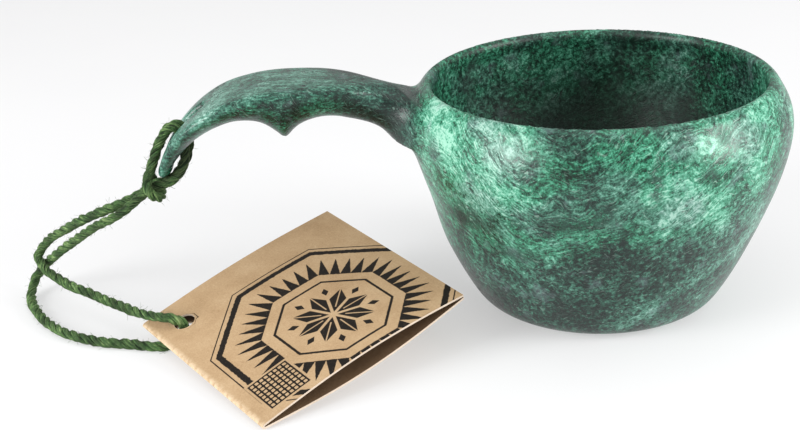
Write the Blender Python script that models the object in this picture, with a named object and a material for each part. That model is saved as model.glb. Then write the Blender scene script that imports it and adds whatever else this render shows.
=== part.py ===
# Kuksa: a small Nordic drinking cup. One moulded body makes the round bowl and
# the arched, slotted handle. A loop of twisted cord is hitched through the slot
# and carries a folded card tag.
#
# Metres, +Z up. The foot of the bowl stands on z = 0 and is centred on the
# origin; the handle points along -X. Lengths below are in millimetres and are
# turned into metres by MM.

import bpy
import bmesh
import math
import numpy as np
from mathutils import Vector

MM = 0.001

# ---------------------------------------------------------------- bowl, r and z
FOOT_R = 25.0            # flat part of the foot
LIP_R = 42.0             # middle of the rounded lip
LIP_TOP = 58.4           # top of the lip
BOWL_OUTER = [           # outside of the wall from the foot to the lip
    (FOOT_R, 0.0), (28.0, 0.75), (30.4, 2.35), (32.9, 5.8), (36.6, 12.8),
    (40.7, 22.1), (44.5, 32.0), (46.9, 40.8), (47.5, 47.2), (46.2, 52.8),
    (44.7, 55.5), (43.3, 57.5), (LIP_R, LIP_TOP)]
BOWL_INNER = [           # inside of the wall from the floor to the lip
    (12.0, 4.3), (20.5, 5.3), (27.0, 8.6), (32.2, 14.0), (36.2, 22.0),
    (39.4, 30.0), (41.6, 38.0), (42.3, 44.0), (42.1, 49.5), (41.5, 54.3),
    (41.05, 57.2), (LIP_R, LIP_TOP)]
FLOOR_Z = 4.2            # inside floor on the axis

# -------------------------------------------------------------- handle, x and z
# The ridge is the middle line of the handle's top face, from the root inside
# the wall to the tip. WIDTH is the half width and DEPTH the thickness below it.
RIDGE = [(-44.0, 55.0), (-48.0, 56.2), (-52.0, 57.5), (-56.0, 58.85),
         (-60.0, 59.95), (-64.0, 60.65), (-68.0, 61.0), (-72.0, 61.1),
         (-76.0, 61.1), (-80.0, 60.95), (-84.0, 60.5), (-88.0, 59.7),
         (-92.0, 58.5), (-96.0, 56.6), (-100.0, 54.0), (-103.4, 51.0),
         (-106.2, 47.6), (-108.4, 43.8), (-109.9, 40.2), (-110.7, 37.6)]
WIDTH = [10.6, 8.3, 7.0, 7.1, 8.3, 9.5, 10.5, 11.2, 11.6, 11.9, 12.1, 12.3,
         12.5, 12.4, 11.4, 9.9, 8.2, 6.5, 4.3, 0.0]
DEPTH = [(-44.0, 15.6), (-46.5, 13.0), (-48.5, 11.1), (-50.6, 9.9),
         (-53.0, 9.3), (-55.4, 9.2), (-57.8, 9.2), (-60.3, 9.15),
         (-62.7, 8.95), (-65.2, 8.9), (-67.6, 9.0), (-70.1, 9.4),
         (-72.7, 10.2), (-74.7, 11.3), (-76.2, 12.5), (-77.4, 13.5),
         (-78.1, 13.75), (-78.8, 13.55), (-80.0, 12.6), (-81.4, 11.4),
         (-83.8, 9.5), (-86.2, 8.2), (-88.7, 7.3), (-91.2, 6.6),
         (-94.0, 6.05), (-97.0, 5.6), (-100.0, 5.2), (-103.4, 4.7),
         (-106.2, 4.2), (-108.4, 3.7), (-109.9, 3.2), (-110.7, 3.0)]
CROWN = 0.45             # rise of the top face at its middle
SLOT_HALF = 2.8          # half width of the cord slot
SLOT_START_X = -97.3     # ridge x where the slot begins
SLOT_END_BAR = 3.9       # material left between the slot and the tip
ROOT_BLEND = 7.0         # size of the fillet between handle and bowl
FLATTENED = 1.35         # how far the wall under the handle is drawn in
EDGE_ROUND = 1.5         # rounding of the handle's edges

MESH_STEP = 1.0          # spacing of the sampling grid for the cup's surface
CUP_TRIANGLES = 8200

# ------------------------------------------------------------------------- cord
CORD_D = 2.5
STRAND_Y = 1.36          # half distance between the two strands in the slot
HITCH_HALF = [           # far strand, from the standing part to the middle of the bight
    (-113.5, STRAND_Y, 34.5), (-111.8, STRAND_Y, 35.3),
    (-109.8, STRAND_Y, 35.8), (-107.4, STRAND_Y, 36.8),
    (-105.2, STRAND_Y, 38.8), (-103.6, STRAND_Y, 41.4),
    (-102.7, STRAND_Y, 44.2), (-102.4, STRAND_Y, 46.8),
    (-103.0, STRAND_Y, 49.2), (-104.6, STRAND_Y, 50.6),
    (-106.6, STRAND_Y, 50.2), (-108.2, STRAND_Y, 48.4),
    (-109.4, STRAND_Y, 46.3), (-110.7, STRAND_Y, 43.8),
    (-111.9, STRAND_Y, 40.9), (-112.95, 1.85, 38.6), (-113.4, 3.2, 36.9),
    (-112.9, 4.15, 35.2), (-111.6, 3.6, 33.5), (-110.8, 2.0, 32.7),
    (-110.6, 0.0, 32.5)]
NEAR_SHIFT = [           # how far the near strand lies from the far one's mirror, x and z
    (0, 0), (0, 0), (0, 0), (0, 0), (0, 0), (-0.25, 0), (-0.55, 0),
    (-0.7, 0), (-0.6, 0.05), (-0.35, 0.1), (-0.3, 0.1), (-0.35, 0.05), (-0.4, 0.05),
    (-0.3, 0), (-0.1, 0), (0, 0), (0, 0), (0, 0), (0, 0), (0, 0), (0, 0)]
LOOP = [                 # from the upper strand, round the tag's hole, and back
    (-113.9, 1.36, 34.1), (-117.4, 1.5, 32.0), (-121.7, 2.2, 30.0),
    (-127.5, 3.9, 27.3), (-133.7, 7.0, 23.9), (-140.4, 11.6, 19.3),
    (-144.5, 14.6, 16.1), (-147.2, 16.4, 13.1), (-148.4, 15.6, 11.0),
    (-147.3, 13.2, 9.6), (-145.0, 9.8, 8.8), (-141.7, 6.4, 8.2),
    (-137.9, 2.6, 7.7), (-131.9, -1.8, 7.1), (-126.3, -6.6, 6.8),
    (-121.3, -11.0, 6.8), (-117.5, -14.6, 7.0), (-113.9, -17.8, 7.5),
    (-110.7, -20.1, 8.0), (-107.9, -21.2, 7.9), (-106.1, -20.9, 6.8),
    (-105.35, -20.3, 5.2), (-105.2, -20.2, 3.8), (-105.8, -20.7, 2.45),
    (-107.4, -21.8, 1.6), (-109.6, -22.6, 1.28), (-112.2, -22.7, 1.25),
    (-115.4, -21.9, 1.25), (-119.6, -20.5, 1.25),
    (-124.3, -19.5, 1.3), (-128.4, -17.8, 1.3), (-132.6, -15.6, 1.3),
    (-137.0, -12.5, 1.3), (-141.3, -8.0, 1.3), (-145.2, -2.4, 1.3),
    (-148.4, 3.6, 1.3), (-150.5, 9.6, 1.4), (-151.0, 14.2, 2.3),
    (-150.1, 17.0, 4.5), (-147.9, 16.9, 7.3), (-144.6, 14.3, 10.6),
    (-139.9, 10.9, 14.9), (-134.5, 7.0, 19.4), (-129.4, 3.4, 23.4),
    (-124.3, 0.6, 26.6), (-118.6, -1.25, 30.6), (-113.9, -1.36, 34.1)]

# -------------------------------------------------------------------------- tag
TAG_B = Vector((-83.0, -63.8, 0.95))     # near corner, on the fold
TAG_L = Vector((-116.1, -16.3, 4.0))     # left corner, on the fold
TAG_R = Vector((-36.1, -32.3, 14.9))     # right corner, on the free edge
TAG_SIDE = 58.0
CARD_T = 0.5
FOLD_GAP = 0.36          # leaf middle to the fold plane, along the fold
FRONT_BOW = (1.9, 1.25)  # rise of the front leaf at the near and far ends
FRONT_LIFT = 1.2         # extra lift of the front leaf's far free corner
BACK_BOW = (2.3, 1.9)    # drop of the back leaf at the near and far ends
HOLE_R = 2.7
HOLE_U = 9.3             # hole centre from the far end of the fold
HOLE_S = 7.3             # hole centre from the fold


# ===================================================================== helpers
def clear_scene():
    for ob in list(bpy.data.objects):
        bpy.data.objects.remove(ob, do_unlink=True)
    for block in (bpy.data.meshes, bpy.data.curves, bpy.data.materials):
        for item in list(block):
            if item.users == 0:
                block.remove(item)


def spline(points, count):
    """Natural cubic through the points, read at even steps of its length."""
    p = np.array(points, float)
    t = np.concatenate([[0.0], np.cumsum(np.linalg.norm(np.diff(p, axis=0), axis=1))])
    n = len(p)
    h = np.diff(t)
    a = np.zeros((n, n))
    b = np.zeros_like(p)
    a[0, 0] = a[-1, -1] = 1.0
    for i in range(1, n - 1):
        a[i, i - 1] = h[i - 1]
        a[i, i] = 2.0 * (h[i - 1] + h[i])
        a[i, i + 1] = h[i]
        b[i] = 6.0 * ((p[i + 1] - p[i]) / h[i] - (p[i] - p[i - 1]) / h[i - 1])
    m = np.linalg.solve(a, b)

    def read(q):
        i = np.clip(np.searchsorted(t, q, side='right') - 1, 0, n - 2)
        u = q - t[i]
        hi = h[i]
        u = u[:, None]
        hi = hi[:, None]
        return (m[i] * (hi - u) ** 3 / (6 * hi) + m[i + 1] * u ** 3 / (6 * hi)
                + (p[i] / hi - m[i] * hi / 6) * (hi - u)
                + (p[i + 1] / hi - m[i + 1] * hi / 6) * u)

    fine = read(np.linspace(0, t[-1], 40 * n))
    arc = np.concatenate([[0.0], np.cumsum(np.linalg.norm(np.diff(fine, axis=0), axis=1))])
    want = np.linspace(0, arc[-1], count)
    return np.stack([np.interp(want, arc, fine[:, k]) for k in range(p.shape[1])], 1)


def polygon_distance(px, pz, poly):
    """Signed distance of points to a closed polygon, negative inside."""
    a = poly
    b = np.roll(poly, -1, axis=0)
    best = np.full(px.shape, 1e9)
    inside = np.zeros(px.shape, bool)
    for (ax, az), (bx, bz) in zip(a, b):
        dx, dz = bx - ax, bz - az
        ll = dx * dx + dz * dz
        if ll < 1e-18:
            continue
        t = np.clip(((px - ax) * dx + (pz - az) * dz) / ll, 0, 1)
        best = np.minimum(best, (px - ax - t * dx) ** 2 + (pz - az - t * dz) ** 2)
        if dz != 0:
            cross = ((az > pz) != (bz > pz)) & (px < (bx - ax) * (pz - az) / dz + ax)
            inside ^= cross
    d = np.sqrt(best)
    return np.where(inside, -d, d)


class Table:
    """Values on an even 2-D grid, read between the grid points."""

    def __init__(self, lo, hi, step, values):
        self.lo, self.step, self.v = lo, step, values

    def read(self, x, y):
        fx = np.clip((x - self.lo[0]) / self.step, 0, self.v.shape[0] - 1.001)
        fy = np.clip((y - self.lo[1]) / self.step, 0, self.v.shape[1] - 1.001)
        i = fx.astype(int)
        j = fy.astype(int)
        fx = fx - i
        fy = fy - j
        v = self.v
        return ((v[i, j] * (1 - fx) + v[i + 1, j] * fx) * (1 - fy)
                + (v[i, j + 1] * (1 - fx) + v[i + 1, j + 1] * fx) * fy)


def grid2(lo, hi, step):
    xs = np.arange(lo[0], hi[0] + step / 2, step)
    ys = np.arange(lo[1], hi[1] + step / 2, step)
    return np.meshgrid(xs, ys, indexing='ij')


def smooth_min(a, b, k):
    h = np.maximum(k - np.abs(a - b), 0.0) / k
    return np.minimum(a, b) - h * h * h * k / 6.0


def smooth_max(a, b, k):
    return -smooth_min(-a, -b, k)


# ================================================================== cup surface
class Cup:
    """The cup's surface as the zero level of one field, in millimetres."""

    def __init__(self):
        outer = spline(BOWL_OUTER, 160)
        inner = spline(BOWL_INNER, 140)
        top = LIP_TOP
        solid = np.concatenate([[[-6.0, 0.0]], outer, [[-6.0, top]]])
        hollow = np.concatenate([[[-6.0, FLOOR_Z]], [[0.0, FLOOR_Z]], inner,
                                 [[LIP_R + 0.001, top + 12.0]], [[-6.0, top + 12.0]]])
        lo, hi, st = (0.0, -8.0), (112.0, 70.0), 0.25
        gx, gz = grid2(lo, hi, st)
        near = gx < 62.0
        so = np.full(gx.shape, 20.0)
        ho = np.full(gx.shape, 20.0)
        so[near] = polygon_distance(gx[near], gz[near], solid)
        ho[near] = polygon_distance(gx[near], gz[near], hollow)
        so[~near] = gx[~near] - 47.5
        ho[~near] = gx[~near] - 42.3
        self.solid = Table(lo, hi, st, so)
        self.hollow = Table(lo, hi, st, ho)

        ridge = spline(RIDGE, 500)
        arc = np.concatenate([[0.0], np.cumsum(np.linalg.norm(np.diff(ridge, axis=0), axis=1))])
        self.length = arc[-1]
        # run the ridge on past both ends along its end tangents
        t0 = ridge[0] - ridge[1]
        t0 /= np.linalg.norm(t0)
        t1 = ridge[-1] - ridge[-2]
        t1 /= np.linalg.norm(t1)
        ext = np.linspace(0.4, 14, 35)
        full = np.concatenate([ridge[0] + t0 * ext[::-1, None], ridge, ridge[-1] + t1 * ext[:, None]])
        sarc = np.concatenate([-ext[::-1], arc, arc[-1] + ext])
        lo, hi, st = (-122.0, 22.0), (-34.0, 72.0), 0.25
        gx, gz = grid2(lo, hi, st)
        s = np.zeros(gx.shape)
        nrm = np.zeros(gx.shape)
        seg = np.diff(full, axis=0)
        sl = np.linalg.norm(seg, axis=1)
        tang = seg / sl[:, None]
        for i in range(gx.shape[0]):
            qx = gx[i][:, None] - full[:-1, 0]
            qz = gz[i][:, None] - full[:-1, 1]
            t = np.clip(qx * tang[:, 0] + qz * tang[:, 1], 0, sl)
            dx = qx - t * tang[:, 0]
            dz = qz - t * tang[:, 1]
            d2 = dx * dx + dz * dz
            k = d2.argmin(1)
            r = np.arange(len(k))
            side = -(tang[k, 0] * qz[r, k] - tang[k, 1] * qx[r, k])
            s[i] = sarc[k] + t[r, k]
            nrm[i] = np.sign(side) * np.sqrt(d2[r, k])
        self.s = Table(lo, hi, st, s)
        self.n = Table(lo, hi, st, nrm)

        # half width and depth along the ridge
        at = [arc[np.argmin(np.hypot(ridge[:, 0] - x, ridge[:, 1] - z))] for x, z in RIDGE]
        wide = spline(list(zip(at, WIDTH)), 400)
        deep_at = [float(np.interp(-x, -ridge[:, 0], arc)) for x, _ in DEPTH]
        self.deep_s, self.deep = np.array(deep_at), np.array([d for _, d in DEPTH])
        dense = spline(list(zip(deep_at, self.deep)), 900)
        self.deep_s, self.deep = dense[:, 0], dense[:, 1]
        keep = np.concatenate([[True], np.diff(self.deep_s) > 0])
        self.deep_s, self.deep = self.deep_s[keep], self.deep[keep]
        self.wide_s, self.wide = wide[:, 0], np.maximum(wide[:, 1], 0.0)

        # outline of the tongue seen square to its top face
        tip = self.length
        up = [(a, w) for a, w in zip(self.wide_s, self.wide) if a < at[-2]]
        end_w = float(np.interp(at[-2], self.wide_s, self.wide))
        rem = tip - at[-2]
        # a rounded end that leaves the last width square to it
        ang = np.linspace(0, math.pi / 2, 24)
        ends = [(at[-2] + rem * math.sin(q), end_w * math.cos(q) ** 0.8) for q in ang]
        half = np.array(up + ends)
        poly = np.concatenate([[[0.0, -9.0]], [[0.0, half[0, 1]]], half[1:], [[tip, -9.0]]])
        lo, hi, st = (-14.0, 0.0), (self.length + 14.0, 60.0), 0.25
        gs, gy = grid2(lo, hi, st)
        self.plan = Table(lo, hi, st, polygon_distance(gs, gy, poly))
        k = arc[np.argmin(np.abs(ridge[:, 0] - SLOT_START_X))]
        self.slot = (k + SLOT_HALF, self.length - SLOT_END_BAR - SLOT_HALF)

    def field(self, x, y, z):
        r = np.sqrt(x * x + y * y)
        body = self.solid.read(r, z)
        hole = self.hollow.read(r, z)
        # the wall is a little flatter under the handle
        w = np.clip((-x / np.maximum(r, 1.0) - 0.55) / 0.40, 0, 1)
        v = np.clip((z - 17.0) / 15.0, 0, 1)
        w = w * w * (3 - 2 * w) * v * v * (3 - 2 * v)
        v = np.clip((56.5 - z) / 11.0, 0, 1)
        body = body + FLATTENED * w * v * v * (3 - 2 * v)
        out = np.array(body)
        m = (x < -36.0) & (np.abs(y) < 34.0) & (z > 23.0)
        if m.any():
            out[m] = self.with_handle(x[m], y[m], z[m], body[m])
        return np.maximum(out, -hole)

    def with_handle(self, x, y, z, body):
        s = self.s.read(x, z)
        n = self.n.read(x, z)
        ay = np.abs(y)
        plan = self.plan.read(s, ay)
        hw = np.maximum(np.interp(s, self.wide_s, self.wide), 5.0)
        dep = np.interp(s, self.deep_s, self.deep)
        a = np.maximum(1.0 + plan / hw, 0.0)
        d = np.maximum(-n, 0.0)
        b = d / dep
        p, q = 2.5, 1.9
        rho = np.maximum(a ** p + b ** q, 1e-9)
        e = 1.0 / 2.2
        val = rho ** e
        ga = e * rho ** (e - 1) * p * a ** (p - 1) / hw
        gb = e * rho ** (e - 1) * q * np.maximum(b, 1e-6) ** (q - 1) / dep
        slope = np.interp(s + 0.25, self.deep_s, self.deep) - np.interp(s - 0.25, self.deep_s, self.deep)
        gs = gb * b * slope * 2.0
        grad = np.sqrt(ga * ga + gb * gb + gs * gs)
        side = (val - 1.0) / np.maximum(grad, 1.0 / (1.6 * np.maximum(hw, dep)))
        crown = CROWN * (1.0 - np.minimum(a, 1.2) ** 2)
        neck = np.clip((s - 6.0) / 14.0, 0, 1)
        neck = neck * neck * (3 - 2 * neck)
        k = EDGE_ROUND * 2.2 + (1 - neck) * 7.0
        top = n - crown - (1 - neck) * 0.9
        h = smooth_max(top, side, k)
        h = np.maximum(h, -s)
        c0, c1 = self.slot
        t = np.clip(s, c0, c1)
        slot = np.sqrt((s - t) ** 2 + y * y) - SLOT_HALF
        h = smooth_max(h, -slot, 2.0)
        # a wide fillet under the handle, a tight one beside the lip, none on it
        low = np.clip((58.0 - z) / 14.0, 0, 1)
        low = low * low * (3 - 2 * low)
        joined = smooth_min(body, h, ROOT_BLEND * (0.5 + 1.25 * low))
        lip = np.sqrt((np.sqrt(x * x + y * y) - LIP_R) ** 2 + (z - LIP_TOP) ** 2)
        fade = np.clip((lip - 1.0) / 4.0, 0, 1)
        fade = fade * fade * (3 - 2 * fade)
        return body + (np.minimum(joined, body) - body) * fade

    def gradient(self, p, e=0.05):
        g = np.zeros_like(p)
        for k in range(3):
            q = p.copy()
            q[:, k] += e
            r = p.copy()
            r[:, k] -= e
            g[:, k] = (self.field(*q.T) - self.field(*r.T)) / (2 * e)
        return g

    def surface(self, step, shift=0.137):
        """Closed quad mesh of the zero level, its points moved onto the level."""
        lo = np.array([-113.5, -50.0, -2.13])
        hi = np.array([50.0, 50.0, 63.5])
        ax = [np.arange(lo[k] + shift * step, hi[k] + step, step) for k in range(3)]
        f = np.empty([len(a) for a in ax])
        gy, gz = np.meshgrid(ax[1], ax[2], indexing='ij')
        for i, x in enumerate(ax[0]):
            f[i] = self.field(np.full(gy.shape, x).ravel(), gy.ravel(), gz.ravel()).reshape(gy.shape)
        neg = f < 0
        nx, ny, nz = f.shape
        acc = np.zeros((nx - 1, ny - 1, nz - 1, 3))
        cnt = np.zeros((nx - 1, ny - 1, nz - 1))
        edges = []
        for k in range(3):
            sl0 = [slice(None)] * 3
            sl1 = [slice(None)] * 3
            sl0[k] = slice(0, -1)
            sl1[k] = slice(1, None)
            cross = neg[tuple(sl0)] != neg[tuple(sl1)]
            idx = np.argwhere(cross)
            f0 = f[tuple(sl0)][cross]
            f1 = f[tuple(sl1)][cross]
            t = f0 / (f0 - f1)
            pos = idx.astype(float)
            pos[:, k] += t
            edges.append((k, idx, neg[tuple(sl0)][cross]))
            o = [q for q in range(3) if q != k]
            for da in (0, -1):
                for db in (0, -1):
                    c = idx.copy()
                    c[:, o[0]] += da
                    c[:, o[1]] += db
                    ok = ((c >= 0) & (c < np.array([nx - 1, ny - 1, nz - 1]))).all(1)
                    c = c[ok]
                    np.add.at(acc, tuple(c.T), pos[ok])
                    np.add.at(cnt, tuple(c.T), 1)
        live = cnt > 0
        number = np.full(live.shape, -1)
        number[live] = np.arange(live.sum())
        verts = acc[live] / cnt[live][:, None]
        start = np.array([a[0] for a in ax])
        verts = start + verts * step
        faces = []
        for k, idx, first in edges:
            o = [(k + 1) % 3, (k + 2) % 3]
            quad = []
            for da, db in ((-1, -1), (0, -1), (0, 0), (-1, 0)):
                c = idx.copy()
                c[:, o[0]] += da
                c[:, o[1]] += db
                quad.append(number[tuple(c.T)])
            quad = np.stack(quad, 1)
            quad[~first] = quad[~first][:, ::-1]
            faces.append(quad)
        faces = np.concatenate(faces)
        for _ in range(3):
            g = self.gradient(verts)
            gg = np.maximum((g * g).sum(1), 0.05)
            move = -(self.field(*verts.T) / gg)[:, None] * g
            move = np.clip(move, -0.5 * step, 0.5 * step)
            verts = verts + move
        return verts, faces


# ==================================================================== materials
def material(name, color, rough):
    mat = bpy.data.materials.new(name)
    mat.use_nodes = True
    for node in mat.node_tree.nodes:
        if node.type == 'BSDF_PRINCIPLED':
            node.inputs['Base Color'].default_value = (*color, 1.0)
            node.inputs['Roughness'].default_value = rough
    return mat


def mesh_object(name, verts, faces, mat, smooth=True):
    mesh = bpy.data.meshes.new(name)
    mesh.from_pydata([tuple(v) for v in verts], [], [tuple(int(i) for i in f) for f in faces])
    mesh.update()
    ob = bpy.data.objects.new(name, mesh)
    bpy.context.scene.collection.objects.link(ob)
    mesh.materials.append(mat)
    if smooth:
        for poly in mesh.polygons:
            poly.use_smooth = True
    return ob


def apply_modifiers(ob):
    dg = bpy.context.evaluated_depsgraph_get()
    new = bpy.data.meshes.new_from_object(ob.evaluated_get(dg))
    old = ob.data
    ob.modifiers.clear()
    ob.data = new
    new.name = ob.name
    bpy.data.meshes.remove(old)


# ========================================================================= cup
def loose_edges(faces):
    """How many edges are not shared by exactly two faces."""
    ends = np.concatenate([faces[:, [k, (k + 1) % 4]] for k in range(4)])
    ends = np.sort(ends, axis=1)
    _, count = np.unique(ends, axis=0, return_counts=True)
    return int((count != 2).sum())


def make_cup(mat):
    cup = Cup()
    for shift in (0.137, 0.31, 0.47, 0.62, 0.79, 0.91):
        verts, faces = cup.surface(MESH_STEP, shift)
        if loose_edges(faces) == 0:
            break
    ob = mesh_object('cup_body', verts * MM, faces, mat)
    # the foot is exactly flat
    for v in ob.data.vertices:
        if v.co.z < 0.05 * MM:
            v.co.z = 0.0
    mod = ob.modifiers.new('thin_out', 'DECIMATE')
    mod.decimate_type = 'COLLAPSE'
    mod.use_collapse_triangulate = True
    mod.ratio = CUP_TRIANGLES / (2.0 * len(faces))
    apply_modifiers(ob)
    for poly in ob.data.polygons:
        poly.use_smooth = True
    return ob


# ======================================================================== cord
def tube(name, route, count, mat):
    pts = spline(route, count)
    curve = bpy.data.curves.new(name, 'CURVE')
    curve.dimensions = '3D'
    curve.bevel_depth = CORD_D / 2 * MM
    curve.bevel_resolution = 2
    curve.use_fill_caps = True
    line = curve.splines.new('POLY')
    line.points.add(len(pts) - 1)
    for point, co in zip(line.points, pts):
        point.co = (co[0] * MM, co[1] * MM, co[2] * MM, 1.0)
    curve.materials.append(mat)
    ob = bpy.data.objects.new(name, curve)
    bpy.context.scene.collection.objects.link(ob)
    return ob


def hitch_points():
    """Far strand up through the slot and over the tip, the bight, the near one back."""
    near = [(x + dx, -y, z + dz) for (x, y, z), (dx, dz) in zip(HITCH_HALF, NEAR_SHIFT)]
    return list(HITCH_HALF) + near[:-1][::-1]


def make_cord(mat):
    tube('cord_hitch', hitch_points(), 78, mat)
    tube('cord_loop', LOOP, 80, mat)


# ========================================================================= tag
def tag_frame():
    """Corner on the fold, and unit directions along the fold, across, and up."""
    along = (TAG_L - TAG_B).normalized()
    across = (TAG_R - TAG_B)
    across = (across - along * across.dot(along)).normalized()
    return TAG_B, along, across, across.cross(along).normalized()


def leaf_height(side, u, s):
    """Height of a leaf's middle above the plane through the tag's corners."""
    t = u / TAG_SIDE
    arch = math.sin(math.pi * min(max(s / TAG_SIDE, 0.0), 1.0))
    if side > 0:
        return FOLD_GAP + (FRONT_BOW[0] * (1 - t) + FRONT_BOW[1] * t) * arch + FRONT_LIFT * t * s / TAG_SIDE
    return -FOLD_GAP - (BACK_BOW[0] * (1 - t) + BACK_BOW[1] * t) * arch


def make_leaf(name, side, mat):
    o, e1, e2, up = tag_frame()
    nu, ns = 8, 16
    s0 = 0.5
    us = [TAG_SIDE * i / nu for i in range(nu + 1)]
    ss = [s0 + (TAG_SIDE - s0) * j / ns for j in range(ns + 1)]
    verts = []
    for lift in (-CARD_T / 2, CARD_T / 2):
        for u in us:
            for s in ss:
                h = leaf_height(side, u, s) + lift
                verts.append((o + e1 * u + e2 * s + up * h) * MM)
    w = ns + 1
    base = (nu + 1) * w
    faces = []
    for i in range(nu):
        for j in range(ns):
            a, b, c, d = i * w + j, i * w + j + 1, (i + 1) * w + j + 1, (i + 1) * w + j
            faces.append((a, b, c, d))
            faces.append((base + d, base + c, base + b, base + a))
    for i in range(nu):
        for j in (0, ns):
            a, b = i * w + j, (i + 1) * w + j
            faces.append((a, b, base + b, base + a))
    for j in range(ns):
        for i in (0, nu):
            a, b = i * w + j, i * w + j + 1
            faces.append((a, b, base + b, base + a))
    ob = mesh_object(name, verts, faces, mat)
    bm = bmesh.new()
    bm.from_mesh(ob.data)
    bmesh.ops.recalc_face_normals(bm, faces=bm.faces)
    bm.to_mesh(ob.data)
    bm.free()

    # punched hole
    c = o + e1 * (TAG_SIDE - HOLE_U) + e2 * HOLE_S
    n = 24
    ring = []
    for lift in (-8.0, 8.0):
        for k in range(n):
            q = 2 * math.pi * k / n
            ring.append((c + e1 * (HOLE_R * math.cos(q)) + e2 * (HOLE_R * math.sin(q)) + up * lift) * MM)
    cf = [(k, (k + 1) % n, n + (k + 1) % n, n + k) for k in range(n)]
    cf += [tuple(range(n))[::-1], tuple(range(n, 2 * n))]
    cut = mesh_object('hole_cutter', ring, cf, mat, smooth=False)
    bm = bmesh.new()
    bm.from_mesh(cut.data)
    bmesh.ops.recalc_face_normals(bm, faces=bm.faces)
    bm.to_mesh(cut.data)
    bm.free()
    cut.hide_render = True
    cut.display_type = 'WIRE'
    mod = ob.modifiers.new('hole', 'BOOLEAN')
    mod.operation = 'DIFFERENCE'
    mod.solver = 'EXACT'
    mod.object = cut
    apply_modifiers(ob)
    bpy.data.objects.remove(cut, do_unlink=True)
    return ob


def main():
    clear_scene()
    green = material('cup_composite', (0.10, 0.30, 0.22), 0.42)
    twine = material('cord_twine', (0.10, 0.22, 0.06), 0.85)
    kraft = material('tag_kraft', (0.58, 0.42, 0.26), 0.8)
    kraft_front = material('tag_kraft_front', (0.60, 0.43, 0.27), 0.8)
    make_cup(green)
    make_cord(twine)
    make_leaf('tag_back_leaf', -1, kraft)
    make_leaf('tag_front_leaf', +1, kraft_front)


main()
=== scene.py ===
# The looks of the kuksa: a marbled moulded cup, a hitched loop of twisted twine
# and a folded kraft-card tag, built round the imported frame. Metres, +Z up; the
# lists of lengths below are in millimetres and are turned into metres by MM.

import math
import bpy
import bmesh
import numpy as np
from mathutils import Matrix, Vector


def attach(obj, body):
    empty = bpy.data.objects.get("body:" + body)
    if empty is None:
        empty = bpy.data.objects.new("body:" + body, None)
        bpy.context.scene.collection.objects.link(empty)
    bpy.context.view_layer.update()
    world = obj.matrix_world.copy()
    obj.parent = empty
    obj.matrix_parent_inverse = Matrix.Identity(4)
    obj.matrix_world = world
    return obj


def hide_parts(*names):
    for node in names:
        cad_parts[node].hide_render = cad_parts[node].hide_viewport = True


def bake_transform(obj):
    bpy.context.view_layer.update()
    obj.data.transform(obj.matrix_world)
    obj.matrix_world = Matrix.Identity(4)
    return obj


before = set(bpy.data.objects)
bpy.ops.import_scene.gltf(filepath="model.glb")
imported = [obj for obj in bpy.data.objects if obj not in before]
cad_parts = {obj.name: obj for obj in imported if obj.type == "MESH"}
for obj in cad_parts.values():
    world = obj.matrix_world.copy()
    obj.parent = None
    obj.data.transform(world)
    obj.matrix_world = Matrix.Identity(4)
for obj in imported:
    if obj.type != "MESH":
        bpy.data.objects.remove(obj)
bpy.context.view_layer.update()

MM = 0.001

# ---------------------------------------------------------------- bowl, r and z
FOOT_R = 25.0            # flat part of the foot
LIP_R = 42.0             # middle of the rounded lip
LIP_TOP = 58.4           # top of the lip
BOWL_OUTER = [           # outside of the wall from the foot to the lip
    (FOOT_R, 0.0), (28.0, 0.75), (30.4, 2.35), (32.9, 5.8), (36.6, 12.8),
    (40.7, 22.1), (44.5, 32.0), (46.9, 40.8), (47.5, 47.2), (46.2, 52.8),
    (44.7, 55.5), (43.3, 57.5), (LIP_R, LIP_TOP)]
BOWL_INNER = [           # inside of the wall from the floor to the lip
    (12.0, 4.3), (20.5, 5.3), (27.0, 8.6), (32.2, 14.0), (36.2, 22.0),
    (39.4, 30.0), (41.6, 38.0), (42.3, 44.0), (42.1, 49.5), (41.5, 54.3),
    (41.05, 57.2), (LIP_R, LIP_TOP)]
FLOOR_Z = 4.2            # inside floor on the axis

# -------------------------------------------------------------- handle, x and z
# The ridge is the middle line of the handle's top face, from the root inside
# the wall to the tip. WIDTH is the half width and DEPTH the thickness below it.
RIDGE = [(-44.0, 55.0), (-48.0, 56.2), (-52.0, 57.5), (-56.0, 58.85),
         (-60.0, 59.95), (-64.0, 60.65), (-68.0, 61.0), (-72.0, 61.1),
         (-76.0, 61.1), (-80.0, 60.95), (-84.0, 60.5), (-88.0, 59.7),
         (-92.0, 58.5), (-96.0, 56.6), (-100.0, 54.0), (-103.4, 51.0),
         (-106.2, 47.6), (-108.4, 43.8), (-109.9, 40.2), (-110.7, 37.6)]
WIDTH = [10.6, 8.3, 7.0, 7.1, 8.3, 9.5, 10.5, 11.2, 11.6, 11.9, 12.1, 12.3,
         12.5, 12.4, 11.4, 9.9, 8.2, 6.5, 4.3, 0.0]
DEPTH = [(-44.0, 15.6), (-46.5, 13.0), (-48.5, 11.1), (-50.6, 9.9),
         (-53.0, 9.3), (-55.4, 9.2), (-57.8, 9.2), (-60.3, 9.15),
         (-62.7, 8.95), (-65.2, 8.9), (-67.6, 9.0), (-70.1, 9.4),
         (-72.7, 10.2), (-74.7, 11.3), (-76.2, 12.5), (-77.4, 13.5),
         (-78.1, 13.75), (-78.8, 13.55), (-80.0, 12.6), (-81.4, 11.4),
         (-83.8, 9.5), (-86.2, 8.2), (-88.7, 7.3), (-91.2, 6.6),
         (-94.0, 6.05), (-97.0, 5.6), (-100.0, 5.2), (-103.4, 4.7),
         (-106.2, 4.2), (-108.4, 3.7), (-109.9, 3.2), (-110.7, 3.0)]
CROWN = 0.45             # rise of the top face at its middle
SLOT_HALF = 2.8          # half width of the cord slot
SLOT_START_X = -97.3     # ridge x where the slot begins
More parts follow.
